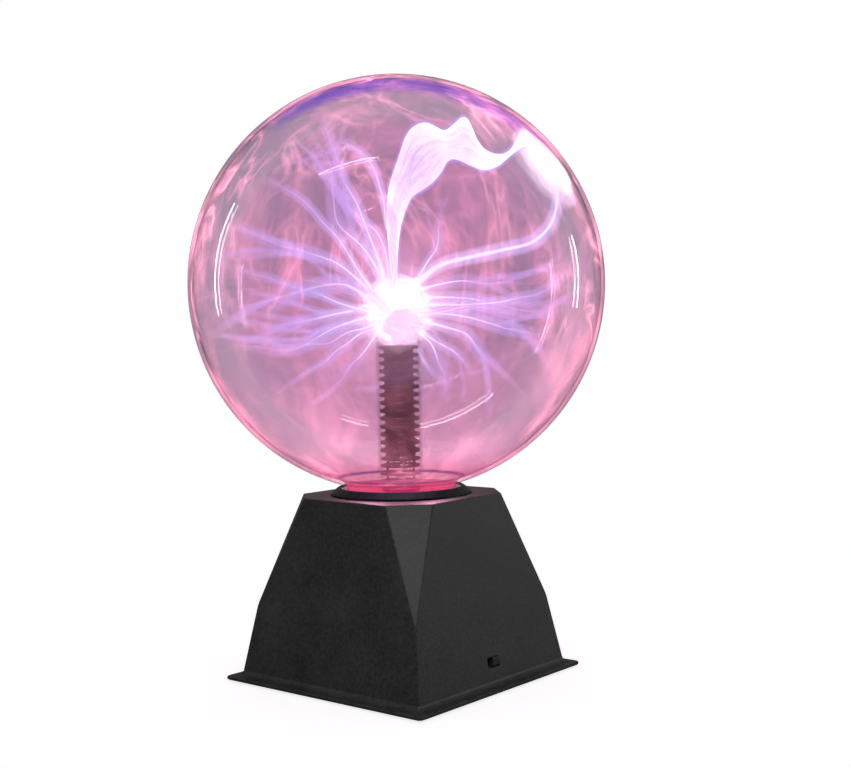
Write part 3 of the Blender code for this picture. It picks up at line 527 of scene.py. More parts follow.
def add_floor():
    """A matt pale floor, lifted to the white of the room for the camera."""
    material, tree = blank("pale_floor")
    speckle = cloud(tree, place_of(tree), 260, 5)
    colour = ramp(tree, speckle, (0.3, 0.86), (0.7, 0.9))
    matt = {"Base Color": colour, "Roughness": 0.9, "Specular IOR Level": 0.0}
    shader = add(tree, "BsdfPrincipled", matt)
    lift = add(tree, "Emission", {"Color": (1, 1, 1, 1), "Strength": FLOOR_LIFT})
    camera_ray = add(tree, "LightPath").outputs["Is Camera Ray"]
    dark = add(tree, "Emission", {"Strength": 0.0})
    lifted = add(tree, "MixShader", {0: camera_ray, 1: dark.outputs[0], 2: lift.outputs[0]})
    both = add(tree, "AddShader", {0: shader.outputs[0], 1: lifted.outputs[0]})
    show(tree, both.outputs[0])
    corners = [(-1, -1, 0), (1, -1, 0), (1, 1, 0), (-1, 1, 0)]
    mesh = bpy.data.meshes.new("floor")
    mesh.from_pydata([Vector(corner) * FLOOR_HALF for corner in corners], [], [(0, 1, 2, 3)])
    mesh.materials.append(material)
    floor = bpy.data.objects.new("floor", mesh)
    bpy.context.scene.collection.objects.link(floor)


def add_studio(right, ahead):
    """A white room, a pale floor, tube lamps for the glass and softboxes for the rest."""
    add_room()
    level = Vector((ahead.x, ahead.y, 0)).normalized()
    up = Vector((0, 0, 1))
    glass = [bpy.data.objects[name] for name in ("glass_globe", "glass_stem")]
    rest = [obj for obj in bpy.data.objects if obj.type == "MESH" and obj not in glass]
    glass = group("lit_glass", glass)
    tubes_far = (  # name, place to the right, ahead and up of the globe, axis, length, radiance, width
        ("strip_left", (-1.1, 0.36, 0.18), up, 0.72, 40, TUBE_WIDTH),
        ("strip_above", (-0.42, -0.5, 1.1), right, 0.6, 14, TUBE_WIDTH),
        ("strip_right", (1.1, 0.42, 0.1), up, 0.45, 60, 0.018),
    )
    for name, (across, beyond, rise), along, length, radiance, width in tubes_far:
        place = GLOBE_MIDDLE + right * across + level * beyond + up * rise
        strip(name, place, GLOBE_MIDDLE, along, length, radiance, glass, width)
    tubes_near = (  # name, spot on the globe's disc in radii, length, radiance
        ("strip_low_right", (0.29, -0.62), 0.1, 15),
        ("strip_low_left", (-0.19, -0.65), 0.035, 10),
    )
    for name, spot, length, radiance in tubes_near:
        low_strip(name, right, right.cross(ahead), -ahead, spot, length, radiance, glass)

    rest = group("lit_solids", rest)
    boxes = (  # name, place from the base, size, power
        ("fill_front", up * 1.25 - level * 1.0, 0.9, 18.5),
        ("fill_right", Vector((0.95, 1.15, 0.4)), 0.8, 3.8),
        ("fill_left", Vector((-1.0, -1.0, 0.7)), 0.8, 1.4),
    )
    for name, way, size, power in boxes:
        softbox(name, BASE_MIDDLE + way, BASE_MIDDLE, size, power, rest)

    names = ("sleeve_bands", "core_ribbed", "steel_spring")
    stem = group("lit_stem", [bpy.data.objects[name] for name in names])
    place = Vector((0, 0, 95 * mm)) - level * 0.7
    strip("strip_stem", place, STEM_MIDDLE, up, 0.3, 30, stem)
    add_floor()


# ---------------------------------------------------------------- glass


def globe_outline(inset):
    """Neck, fillet and sphere of one surface of the globe, from the neck's end to the top."""
    radius = GLOBE_RADIUS - inset
    neck = NECK_RADIUS - inset
    fillet = NECK_FILLET + inset
    across = neck + fillet
    fillet_z = GLOBE_MIDDLE.z - math.sqrt((radius + fillet) ** 2 - across**2)
    meet = math.degrees(math.atan2(fillet_z - GLOBE_MIDDLE.z, across))
    outline = [(neck, NECK_LOW_Z + (fillet_z - NECK_LOW_Z) * i / 6) for i in range(6)]
    outline += arc(across, fillet_z, fillet, 180, 180 + meet, 10)
    outline += arc(0, GLOBE_MIDDLE.z, radius, meet, 90, 72)[1:]
    outline[-1] = (0, GLOBE_MIDDLE.z + radius)
    return outline


def add_globe():
    """The blown globe and its neck, with both its surfaces."""
    glass = see_through("globe_glass_clear", (0.25, 0.2, 0.32), reflectance=0.035, strength=0.35)
    outline = globe_outline(0) + globe_outline(GLASS_WALL)[::-1]
    points, faces = turned(outline, 160)
    new_piece("glass_globe", points, faces, glass, replaced=["globe_glass"], slot="globe_glass")


def stem_outline(inset):
    """Flare, tube and bulb of one surface of the stem, from the flare's rim to the top."""
    bulb_radius = BULB_RADIUS - inset
    pipe = STEM_RADIUS - inset
    rim = NECK_RADIUS - GLASS_WALL - 0.4 * mm
    low_z = FLARE_LOW_Z - inset
    outline = []
    for step in range(9):
        angle = math.radians(90 - 90 * step / 8)
        outline.append(
            (pipe + (rim - pipe) * (1 - math.cos(angle)), low_z + FLARE_HEIGHT * (1 - math.sin(angle)))
        )
    meet = -math.degrees(math.acos(pipe / bulb_radius))
    sphere = arc(0, BALL_MIDDLE.z, bulb_radius, meet, 90, 20)
    outline += sphere[:-1] + [(0, BALL_MIDDLE.z + bulb_radius)]
    return outline


def add_stem():
    """The flared tube and its bulb, with both their surfaces."""
    glass = see_through("stem_glass_clear", (0.75, 0.55, 0.7), reflectance=0.05, strength=0.8)
    outline = stem_outline(0) + stem_outline(STEM_WALL)[::-1]
    points, faces = turned(outline, 64)
    new_piece("glass_stem", points, faces, glass, replaced=["stem_glass"], slot="globe_glass")


# ---------------------------------------------------------------- inside the stem


def cage(radius, low_z, top_z, wires, wire):
    """Paths of a diamond mesh: wires that climb both ways round."""
    rise = MESH_PITCH * wires
    paths = []
    steps = round((top_z - low_z) / mm)
    for way in (1, -1):
        for k in range(wires):
            path = []
            for i in range(steps + 1):
                z = low_z + (top_z - low_z) * i / steps
                angle = way * math.tau * (z - low_z) / rise + math.tau * k / wires
                reach = radius + way * wire * 0.25
                place = Vector((reach * math.cos(angle), reach * math.sin(angle), z))
                path.append((place, wire / 2, 0.0))
            paths.append(path)
    return paths


def add_conductors():
    """Bands round a dark ribbed core, an open cage under it, and the spring at the bottom."""
    # The wire is dark grey steel. The blue-violet in its two shades is painted light: the violet glow of
    # the discharges falling on it.
    violet_lit_wire = moulded("mesh_wire_dull", (0.012, 0.012, 0.03), (0.04, 0.042, 0.085), 0.2, 0.5, 0.2, 0.5, 0.6)
    reach = STEM_RADIUS - STEM_WALL - 0.05 * mm  # just inside the glass of the stem
    thick = 1.3 * mm
    tall = 1.8 * mm
    soft = 0.6 * mm
    solid_low = CORE_LOW_Z + 5 * mm
    points, faces = [], []
    count = int((SLEEVE_TOP_Z - SLEEVE_LOW_Z) / MESH_PITCH)
    for i in range(count):
        low_z = SLEEVE_TOP_Z - tall - i * MESH_PITCH
        if low_z < solid_low:
            tall = 1.3 * mm
        band = arc(reach - soft, low_z + soft, soft, -90, 0, 3)
        band += arc(reach - soft, low_z + tall - soft, soft, 0, 90, 3)
        band += [(reach - thick, low_z + tall), (reach - thick, low_z)]
        more, sides = turned(band, 56, len(points))
        points += more
        faces += sides
    bands = new_piece("sleeve_bands", points, faces, violet_lit_wire, slot="mesh_wire")
    posts = []
    for k in range(4):
        angle = PLANE_HEADING + math.radians(45 + 90 * k)
        side = Vector((math.cos(angle), math.sin(angle), 0)) * (reach - 0.8 * mm)
        ends = (SLEEVE_LOW_Z, SLEEVE_TOP_Z)
        posts.append([(side + Vector((0, 0, z)), 0.45 * mm, 0.0) for z in ends])
    tubes("sleeve_posts", posts, violet_lit_wire, 8, replaced=["mesh_sleeve"], slot="mesh_wire")
    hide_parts("mesh_sleeve")

    # The core's own colour is near black. The blue-violet in its two shades is painted light: the violet
    # glow of the discharges on it.
    dark = moulded("core_ribbed_dark", (0.005, 0.006, 0.018), (0.02, 0.021, 0.055), 0.3, 0.6, 0.4, 0.5, 0.5)
    outline = []
    ribs = round((SLEEVE_TOP_Z - solid_low) / (MESH_PITCH / 2))
    for i in range(ribs * 4 + 1):
        z = solid_low + (SLEEVE_TOP_Z - solid_low) * i / (ribs * 4)
        swell = 0.35 * mm * math.cos(math.tau * i / 4)
        outline.append((CORE_RADIUS - 0.4 * mm + swell, z))
    outline += [(CORE_RADIUS - 1.2 * mm, SLEEVE_TOP_Z), (CORE_RADIUS - 1.2 * mm, solid_low)]
    points, faces = turned(outline, 56)
    new_piece("core_ribbed", points, faces, dark, replaced=["mesh_core"], slot="mesh_wire")
    lower = cage(CORE_RADIUS - 0.7 * mm, CORE_LOW_Z, solid_low + mm, 5, 0.7 * mm)
    tubes("core_cage", lower, dark, 6, slot="mesh_wire")

    steel = moulded("spring_steel", (0.6, 0.59, 0.6), (0.9, 0.89, 0.9), 0.2, 0.3, 0.1, 0.5, 1.0)
    coil = []
    count = SPRING_TURNS * 24
    for i in range(count + 1):
        angle = math.tau * i / 24
        z = SPRING_LOW_Z + SPRING_WIRE / 2 + (SPRING_TOP_Z - SPRING_LOW_Z - SPRING_WIRE) * i / count
        place = Vector((SPRING_RADIUS * math.cos(angle), SPRING_RADIUS * math.sin(angle), z))
        coil.append((place, SPRING_WIRE / 2, 0.0))
    tubes("steel_spring", [coil], steel, 10, replaced=["contact_spring"], slot="plated_steel")


def add_electrode():
    """A ball of steel wool, white-hot to the eye."""
    material, tree = blank("electrode_wool_lit")
    place = place_of(tree)
    strands = cloud(tree, place, 420, 8, 0.7, 1.5)
    height = maths(tree, "SUBTRACT", height_of(tree, place), BALL_MIDDLE.z)
    height = maths(tree, "DIVIDE", height, BALL_RADIUS)
    light = ramp(tree, height, (0.0, 1.2), (0.4, 3.0))
    warm = ramp(tree, height, (0.0, (1.0, 0.5, 0.5)), (0.3, (1.0, 0.85, 0.95)), (0.6, (1.0, 0.98, 1.0)))
    colour = mix(tree, ramp(tree, strands, (0.3, 0.0), (0.6, 1.0)), (0.9, 0.5, 0.62, 1), warm)
    shader = add(tree, "BsdfPrincipled", {"Base Color": (0.45, 0.4, 0.42, 1), "Roughness": 0.5})
    shader.inputs["Metallic"].default_value = 0.6
    tree.links.new(colour, shader.inputs["Emission Color"])
    tree.links.new(light, shader.inputs["Emission Strength"])
    relief = add(tree, "Bump", {"Height": strands, "Strength": 0.8, "Distance": 0.6 * mm})
    tree.links.new(relief.outputs[0], shader.inputs["Normal"])
    show(tree, shader.outputs[0])
    outline = arc(0, 0, BALL_RADIUS, -90, 90, 40)
    outline[0] = (0, -BALL_RADIUS)
    outline[-1] = (0, BALL_RADIUS)
    points, faces = turned(outline, 72)
    for i, point in enumerate(points):
        rough = noise.noise(point * 420) + 0.5 * noise.noise(point * 900)
        points[i] = point * (0.97 + 0.025 * rough) + BALL_MIDDLE
    obj = new_piece("wool_ball", points, faces, no_lamp(material))
    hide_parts("electrode_ball")


# ---------------------------------------------------------------- gas


def gas_shell(name, radius, passed, seed, fades):
    """One layer of the glowing gas: a tinted veil with pink clouds and fine branching threads."""
    material, tree = blank(name)
    place = place_of(tree)
    shift = add(tree, "VectorMath", {0: place, 1: (seed, -seed, seed * 0.5)}, operation="ADD").outputs[0]
    stretched = add(tree, "VectorMath", {0: shift, 1: (1, 1, 0.5)}, operation="MULTIPLY").outputs[0]
    broad = cloud(tree, shift, 13, 2, 0.5, 0.4)
    smoke = cloud(tree, stretched, 34, 6, 0.6, 0.8)
    wisp = cloud(tree, stretched, 22, 3, 0.5, 1.3)
    ridge = maths(tree, "ABSOLUTE", maths(tree, "SUBTRACT", wisp, 0.5))
    thread = ramp(tree, ridge, (0.0, 1.0), (0.015, 0.55), (0.05, 0.0))
    gate = ramp(tree, cloud(tree, shift, 27, 2), (0.45, 0.0), (0.57, 1.0))
    foot = 0.5 - 0.5 * GLOBE_MIDDLE.z / GLOBE_RADIUS
    share = maths(tree, "MULTIPLY_ADD", height_of(tree, place), 0.5 / GLOBE_RADIUS, foot)
    gate = maths(tree, "MULTIPLY", gate, ramp(tree, share, (0.3, 0.15), (0.5, 1.0)))
    thread = maths(tree, "MULTIPLY", thread, gate)
    haze = ramp(
        tree, share, (0.05, (0.1, 0.018, 0.036)), (0.3, (0.03, 0.007, 0.012)), (0.5, (0.0, 0.0, 0.0)),
    )  # fmt: skip
    threads = mix(tree, thread, (0, 0, 0, 1), (0.58, 0.19, 0.27, 1))
    threads = add(tree, "VectorMath", {0: threads, 1: haze}, operation="ADD").outputs[0]
    mass = maths(tree, "MULTIPLY_ADD", smoke, 0.55, maths(tree, "MULTIPLY", broad, 0.55))
    clouds = ramp(
        tree, mass, (0.49, (0.0, 0.0, 0.0)), (0.55, (0.07, 0.02, 0.028)), (0.64, (0.28, 0.08, 0.115)),
        (0.74, (0.62, 0.2, 0.28)),
    )  # fmt: skip
    colour = add(tree, "VectorMath", {0: clouds, 1: threads}, operation="ADD").outputs[0]
    facing = facing_of(tree)
    if fades:
        inward = maths(tree, "SUBTRACT", 1.0, maths(tree, "POWER", facing, 1.5))
        tint = mix(tree, inward, (1, 1, 1, 1), (*passed, 1))
        strength = maths(tree, "MULTIPLY", inward, 0.6)
    else:
        tint = (*passed, 1)
        strength = maths(tree, "MULTIPLY_ADD", maths(tree, "POWER", facing, 2.0), 3.2, 0.42)
    light = add(tree, "Emission", {"Color": colour, "Strength": strength})
    clear = add(tree, "BsdfTransparent", {"Color": tint})
    both = add(tree, "AddShader", {0: light.outputs[0], 1: clear.outputs[0]})
    show(tree, both.outputs[0])
    outline = arc(0, GLOBE_MIDDLE.z, radius, -70, 90, 60)
    outline[-1] = (0, GLOBE_MIDDLE.z + radius)
    points, faces = turned(outline, 128, closed=False)
    new_piece(name, points, faces, no_lamp(material))


def add_gas():
    """Two layers of gas, the inner one fading at its outline so that it isn't seen as a ball."""
    gas_shell("gas_outer", VEIL_RADIUS, (0.69, 0.56, 0.68), 0.31, False)
    gas_shell("gas_inner", GAS_RADIUS * 0.84, (0.86, 0.78, 0.86), 0.77, True)


# ---------------------------------------------------------------- discharges


def flow_material(name, stops, strength, opacity, power, fades):
    """Glow along a discharge: colour by how far along it is, soft at its outline."""
    material, tree = blank(name)
    along = add(tree, "Attribute", attribute_name="along").outputs["Fac"]
    place = place_of(tree)
    flicker = cloud(tree, place, 130, 4)
    colour = ramp(tree, along, *stops)
    fade = ramp(tree, along, *fades)
    density = maths(tree, "MULTIPLY", fade, maths(tree, "MULTIPLY_ADD", flicker, 0.8, 0.6))
    density = maths(tree, "MULTIPLY", density, soft_edge(tree, power))
    glow(tree, colour, strength, maths(tree, "MULTIPLY", density, opacity, clamp=True))
    return no_lamp(material)


def resample(line, count):
    """This many points at equal steps along a line."""
    lengths = [0.0]
    for one, two in zip(line, line[1:]):
        lengths.append(lengths[-1] + (two - one).length)
    made, at = [], 0
    for i in range(count):
        target = lengths[-1] * i / (count - 1)
        while at < len(line) - 2 and lengths[at + 1] < target:
            at += 1
        span = lengths[at + 1] - lengths[at]
        made.append(line[at].lerp(line[at + 1], (target - lengths[at]) / span if span else 0))
    return made


def add_ribbon():
    """The broad discharge that runs up from the electrode and over to the touched spot."""
    upper = resample(smooth_line([(a, 0, u) for a, u in RIBBON_UPPER], 6), RIBBON_STEPS)
    lower = resample(smooth_line([(a, 0, u) for a, u in RIBBON_LOWER], 6), RIBBON_STEPS)

    def sheet(name, material, grow, thickness):
        """One flat closed skin between the two edges, widened by grow, both in mm."""
        points, rings, along, across = [], [], [], []
        for i, (one, two) in enumerate(zip(upper, lower)):
            share = i / (RIBBON_STEPS - 1)
            middle = (one + two) / 2
            reach = (one - two) / 2
            reach = reach.normalized() * (reach.length + grow)
            wave = 6.0 * math.sin(share * 9.0) * share * (1.2 - share)
            rings.append(range(len(points), len(points) + RIBBON_SIDES))
            for k in range(RIBBON_SIDES):
                angle = math.tau * k / RIBBON_SIDES
                flat = middle + reach * math.cos(angle)
                deep = wave * (1 + 0.8 * math.cos(angle)) + thickness * math.sin(angle)
                points.append(in_plane(flat.x, flat.z, deep))
                along.append(share)
                across.append(math.cos(angle))
        obj = new_piece(name, points, skin(rings), material)
        keep_values(obj, "along", along)
        keep_values(obj, "across", across)

    material, tree = blank("ribbon_light")
    along = add(tree, "Attribute", attribute_name="along").outputs["Fac"]
    across = add(tree, "Attribute", attribute_name="across").outputs["Fac"]
    edge = maths(tree, "POWER", maths(tree, "ABSOLUTE", across), 3.0)
    lanes = {0: maths(tree, "MULTIPLY", across, 3.0), 1: maths(tree, "MULTIPLY", along, 5.0)}
    strand = add(tree, "CombineXYZ", lanes)
    streak = cloud(tree, strand.outputs[0], 1.3, 3, 0.6, 0.6)
    body = maths(tree, "MULTIPLY_ADD", edge, 0.5, streak)
    colour = ramp(
        tree, body, (0.36, (0.42, 0.43, 0.68)), (0.5, (0.62, 0.68, 0.9)), (0.62, (1.0, 1.0, 1.0)),
    )  # fmt: skip
    hot = ramp(
        tree, along, (0.0, 1.0), (0.2, 0.9), (0.3, 0.3), (0.4, 0.1), (0.5, 0.55), (0.6, 0.5),
        (0.7, 1.0),
    )  # fmt: skip
    colour = mix(tree, hot, colour, (0.95, 1, 1, 1))
    solid = ramp(tree, body, (0.25, 0.8), (0.6, 1.0))
    glow(tree, colour, maths(tree, "MULTIPLY_ADD", hot, 1.2, 2.9), solid)
    sheet("discharge_ribbon", no_lamp(material), -0.3, 1.0)
    halo = flow_material(
        "ribbon_halo_light", [(0, (0.6, 0.45, 1.0)), (1, (0.6, 0.5, 1.0))], 1.6, 0.7, 1.3,
        [(0, 0.8), (1, 0.8)],
    )  # fmt: skip
    sheet("discharge_ribbon_halo", halo, 1.3, 3.0)


def streamer_line(flat, share):
    """The path in space of a streamer drawn in the plane, ending on the glass if share is 1."""
    last = Vector(flat[-1])
    free = (GAS_RADIUS / mm * 0.985) ** 2 - last.length_squared
    depth = share * math.sqrt(max(free, 0))
    line = smooth_line([(a, 0, u) for a, u in flat], 10)
    count = len(line) - 1
    return [in_plane(p.x, p.z, depth * (i / count) ** 1.3) for i, p in enumerate(line)]


def waver(line, size, seed):
    """The line with a small sideways wander that grows from its start."""
    made = []
    count = len(line) - 1
    for i, place in enumerate(line):
        at = place * 55 + Vector((seed, seed * 1.7, -seed))
        apart = (Vector(), Vector((9, 0, 0)), Vector((0, 9, 0)))
        drift = Vector([noise.noise(at + step) for step in apart])
        made.append(place + drift * size * (i / count) ** 0.7)
    return made


def tossed(rng):
    """A direction with three random parts."""
    return Vector([rng.uniform(-1, 1) for _ in range(3)])


def add_streamers():
    """Thin discharges with soft violet halos: those drawn, their twigs, and more round the back."""
    core = flow_material(
        "streamer_core_light",
        [(0.0, (1, 1, 1)), (0.25, (1, 0.95, 1)), (0.5, (0.9, 0.8, 1.0)), (0.85, (0.95, 0.55, 0.8))],
        2.8, 1.0, 0.7, [(0, 1.0), (0.12, 1.0), (0.3, 0.7), (0.5, 0.3), (0.8, 0.12), (1, 0)],
    )  # fmt: skip
    halo = flow_material(
        "streamer_halo_light",
        [(0.0, (1.0, 0.95, 1.0)), (0.2, (0.7, 0.66, 1.0)), (0.6, (0.58, 0.5, 0.95)),
         (0.95, (0.85, 0.45, 0.7))],
        1.7, 0.6, 1.4, [(0, 0.9), (0.4, 0.75), (0.75, 0.4), (1, 0)],
    )  # fmt: skip
    rng = random.Random(7)
    cores, halos = [], []

    def add_one(line, size, reach=1.0, spread=1.0):
        """A thin bright core and a wide halo along a line."""
        count = len(line) - 1
        thin, wide = [], []
        for i, place in enumerate(line):
            share = i / count
            taper = 0.5 - 0.3 * share + 1.9 * math.exp(-share * 16)
            thin.append((place, size * mm * taper, share * reach))
            bulge = 1.4 + 3.2 * math.sin(math.pi * min(share * 0.75 + 0.1, 1))
            wide.append((place, size * mm * bulge * spread, share * reach))
        cores.append(thin)
        halos.append(wide)

    for number, (flat, share, size) in enumerate(STREAMERS):
        line = waver(streamer_line(flat, share), 3.0 * mm if number else 0.5 * mm, number * 3.1)
        if number == 0:
            add_one(line, size * 1.8, 0.4, 0.4)
            continue
        add_one(line, size)
        for twig in range(3):
            start = int(len(line) * rng.uniform(0.3, 0.75))
            way = (line[-1] - line[start]).normalized()
            side = tossed(rng)
            out = (line[-1] + side * 26 * mm - GLOBE_MIDDLE).normalized()
            end = GLOBE_MIDDLE + out * GAS_RADIUS * 0.97
            first = line[start] + way * 14 * mm
            curve = interpolate_bezier(line[start], first, end - side * 6 * mm, end, 18)
            path = []
            for i, place in enumerate(waver(curve, 3.5 * mm, number + twig * 5.3)):
                share = i / 17
                swell = 0.6 + 1.5 * math.sin(math.pi * share)
                path.append((place, size * mm * swell, 0.45 + 0.55 * share))
            halos.append(path)
    for i in range(BACK_STREAMERS):
        height = 0.92 - 1.55 * (i + 0.5) / BACK_STREAMERS
        angle = GOLDEN_TURN * i
        ring = math.sqrt(1 - height * height)
        out = Vector((ring * math.cos(angle), ring * math.sin(angle), height))
        if abs(out.dot(TOWARDS)) < 0.35 or (height > 0.2 and out.dot(ACROSS) > -0.2):
            continue
        start = BALL_MIDDLE + out * BALL_RADIUS
        way = (out + Vector((0, 0, rng.uniform(-0.1, 0.2)))).normalized()
        end = GLOBE_MIDDLE + way * GAS_RADIUS * 0.97
        bend = tossed(rng) * 22 * mm
        middle = start.lerp(end, 0.5) + bend
        first = start.lerp(middle, 0.6) + out * 6 * mm
        second = middle.lerp(end, 0.5) + bend * 0.4
        line = interpolate_bezier(start, first, second, end, 26)
        add_one(waver(line, 4 * mm, i * 1.9), rng.uniform(0.45, 0.8))
    tubes("streamer_cores", cores, core, 6)
    tubes("streamer_halos", halos, halo, 10)


def blob(name, middle, sizes, axes, material, rough):
    """A rounded body of glow, its surface pushed in and out a little."""
    outline = arc(0, 0, 1, -90, 90, BLOB_STEPS // 2)
    outline[0] = (0, -1)
    outline[-1] = (0, 1)
    points, faces = turned(outline, BLOB_STEPS)
    made = []
    for point in points:
        swell = 1 + rough * noise.noise(point * 2.6)
        parts = [axis * size * share * swell for axis, size, share in zip(axes, sizes, point)]
        made.append(middle + sum(parts, Vector()))
    return new_piece(name, made, faces, material)


def blob_material(name, colour, opacity, power, strength):
    """Glow that is densest in the middle of a rounded body and soft at its outline."""
    material, tree = blank(name)
    patches = cloud(tree, place_of(tree), 90, 4)
    shade = mix(tree, patches, (*colour, 1), (1, 0.95, 1, 1))
    uneven = maths(tree, "MULTIPLY_ADD", patches, 0.5, 0.75)
    density = maths(tree, "MULTIPLY", soft_edge(tree, power), uneven)
    glow(tree, shade, strength, maths(tree, "MULTIPLY", density, opacity, clamp=True))
    return no_lamp(material)


def add_glare():
    """The blaze round the electrode, pink patches in it, and the blaze at the touched spot."""
    world_axes = (Vector((1, 0, 0)), Vector((0, 1, 0)), Vector((0, 0, 1)))
    shells = (  # radius in mm, opacity, softness, colour, strength
        (15.4, 0.9, 0.35, (1.0, 0.93, 1.0), 3.0),
        (17.5, 0.6, 1.2, (1.0, 0.95, 1.0), 3.0),
        (23.0, 0.22, 1.8, (0.95, 0.85, 1.0), 2.2),
        (42.0, 0.13, 2.2, (0.6, 0.5, 1.0), 1.5),
    )
    for i, (size, opacity, power, colour, strength) in enumerate(shells, 1):
        material = blob_material(f"electrode_glare_{i}_light", colour, opacity, power, strength)
        blob(f"electrode_glare_{i}", BALL_MIDDLE, (size * mm,) * 3, world_axes, material, 0.12)
    for k in range(3):
        angle = PLANE_HEADING + math.radians(-78 + 120 * k)
        out = Vector((math.cos(angle), math.sin(angle), -0.6)).normalized()
        side = out.cross(Vector((0, 0, 1))).normalized()
        axes = (side, side.cross(out), out)
        material = blob_material(f"electrode_pink_{k + 1}_light", (1.0, 0.6, 0.82), 0.85, 1.8, 1.6)
        place = BALL_MIDDLE + out * 15.5 * mm
        blob(f"electrode_pink_{k + 1}", place, (8.5 * mm, 8.5 * mm, 4.0 * mm), axes, material, 0.4)
    across, up = CONTACT
    radial = (ACROSS * across + Vector((0, 0, up))).normalized()
    along = TOWARDS.cross(radial)
    shells = ((14, 3.6, 1.0), (18, 6.0, 0.6), (24, 9.0, 0.3))  # length and depth in mm, opacity
    for i, (long, thin, opacity) in enumerate(shells, 1):
        place = GLOBE_MIDDLE + radial * (VEIL_RADIUS - (thin + 0.8) * mm)
        material = blob_material(f"contact_glare_{i}_light", (1, 0.8, 0.95), opacity, 0.7 + 0.6 * i, 3.2)
        sizes = (long * mm, thin * mm, thin * 1.6 * mm)
        blob(f"contact_glare_{i}", place, sizes, (along, radial, TOWARDS), material, 0.1)


def add_rim_glow():
    """Violet light in the top of the globe and round the bend into the neck."""
    material, tree = blank("top_glow_light")
    place = place_of(tree)
    sideways = add(tree, "VectorMath", {0: place, 1: ACROSS}, operation="DOT_PRODUCT").outputs["Value"]
    share = maths(tree, "SUBTRACT", height_of(tree, place), GLOBE_MIDDLE.z)
    share = maths(tree, "DIVIDE", share, GAS_RADIUS)
    share = maths(tree, "MULTIPLY_ADD", sideways, 0.12 / GAS_RADIUS, share)
    top = ramp(tree, share, (0.68, 0.0), (0.84, 1.0))
    patches = cloud(tree, place, 30, 3)
    edge = ramp(tree, facing_of(tree), (0.62, 0.0), (0.76, 0.7), (1.0, 0.95))
    density = maths(tree, "MULTIPLY", edge, top)
    density = maths(tree, "MULTIPLY", density, maths(tree, "MULTIPLY_ADD", patches, 0.4, 0.8), clamp=True)
    colour = ramp(tree, patches, (0.3, (0.2, 0.1, 0.85)), (0.7, (0.42, 0.22, 0.95)))
    glow(tree, colour, 1.0, density)
    outline = arc(0, GLOBE_MIDDLE.z, GAS_RADIUS + 0.2 * mm, 20, 90, 30)
    outline[-1] = (0, GLOBE_MIDDLE.z + GAS_RADIUS + 0.2 * mm)
    points, faces = turned(outline, 128, closed=False)
    new_piece("top_glow", points, faces, no_lamp(material))

    inset = GLASS_WALL + 0.25 * mm
    top_z = GLOBE_MIDDLE.z - GLOBE_RADIUS * 0.83
    outline = [point for point in globe_outline(inset) if point[1] < top_z]
    material, tree = blank("neck_glow_light")
    place = place_of(tree)
    flat = add(tree, "VectorMath", {0: place, 1: (1, 1, 0)}, operation="MULTIPLY").outputs[0]
    reach = add(tree, "VectorMath", {0: flat}, operation="LENGTH").outputs["Value"]
    patches = cloud(tree, place, 55, 4)
    share = maths(tree, "DIVIDE", maths(tree, "SUBTRACT", reach, NECK_RADIUS - GLASS_WALL), 25 * mm)
    share = maths(tree, "MULTIPLY_ADD", patches, 0.01, share)
    colour = ramp(
        tree, share, (0.09, (0.9, 0.04, 0.2)), (0.13, (0.03, 0.004, 0.17)), (0.19, (0.03, 0.004, 0.2)),
        (0.25, (0.9, 0.16, 0.34)), (1.0, (0.9, 0.3, 0.5)),
    )  # fmt: skip
    density = ramp(
        tree, share, (0.0, 0.5), (0.1, 0.55), (0.135, 0.92), (0.185, 0.92), (0.26, 0.45), (1.0, 0.0),
    )  # fmt: skip
    glow(tree, colour, 1.0, density)
    points, faces = turned(outline, 128, closed=False)
    new_piece("neck_glow", points, faces, no_lamp(material))


# ---------------------------------------------------------------- base and hidden parts


def paint(material, *nodes):
    """Gives this material to CAD nodes that stay."""
    for name in nodes:
        mesh = frame["nodes"][name].data
        mesh.materials.clear()
        mesh.materials.append(material)


def numbered(stem, count):
    """The names of like nodes, counted from 1."""
    return [f"{stem}_{i + 1}" for i in range(count)]


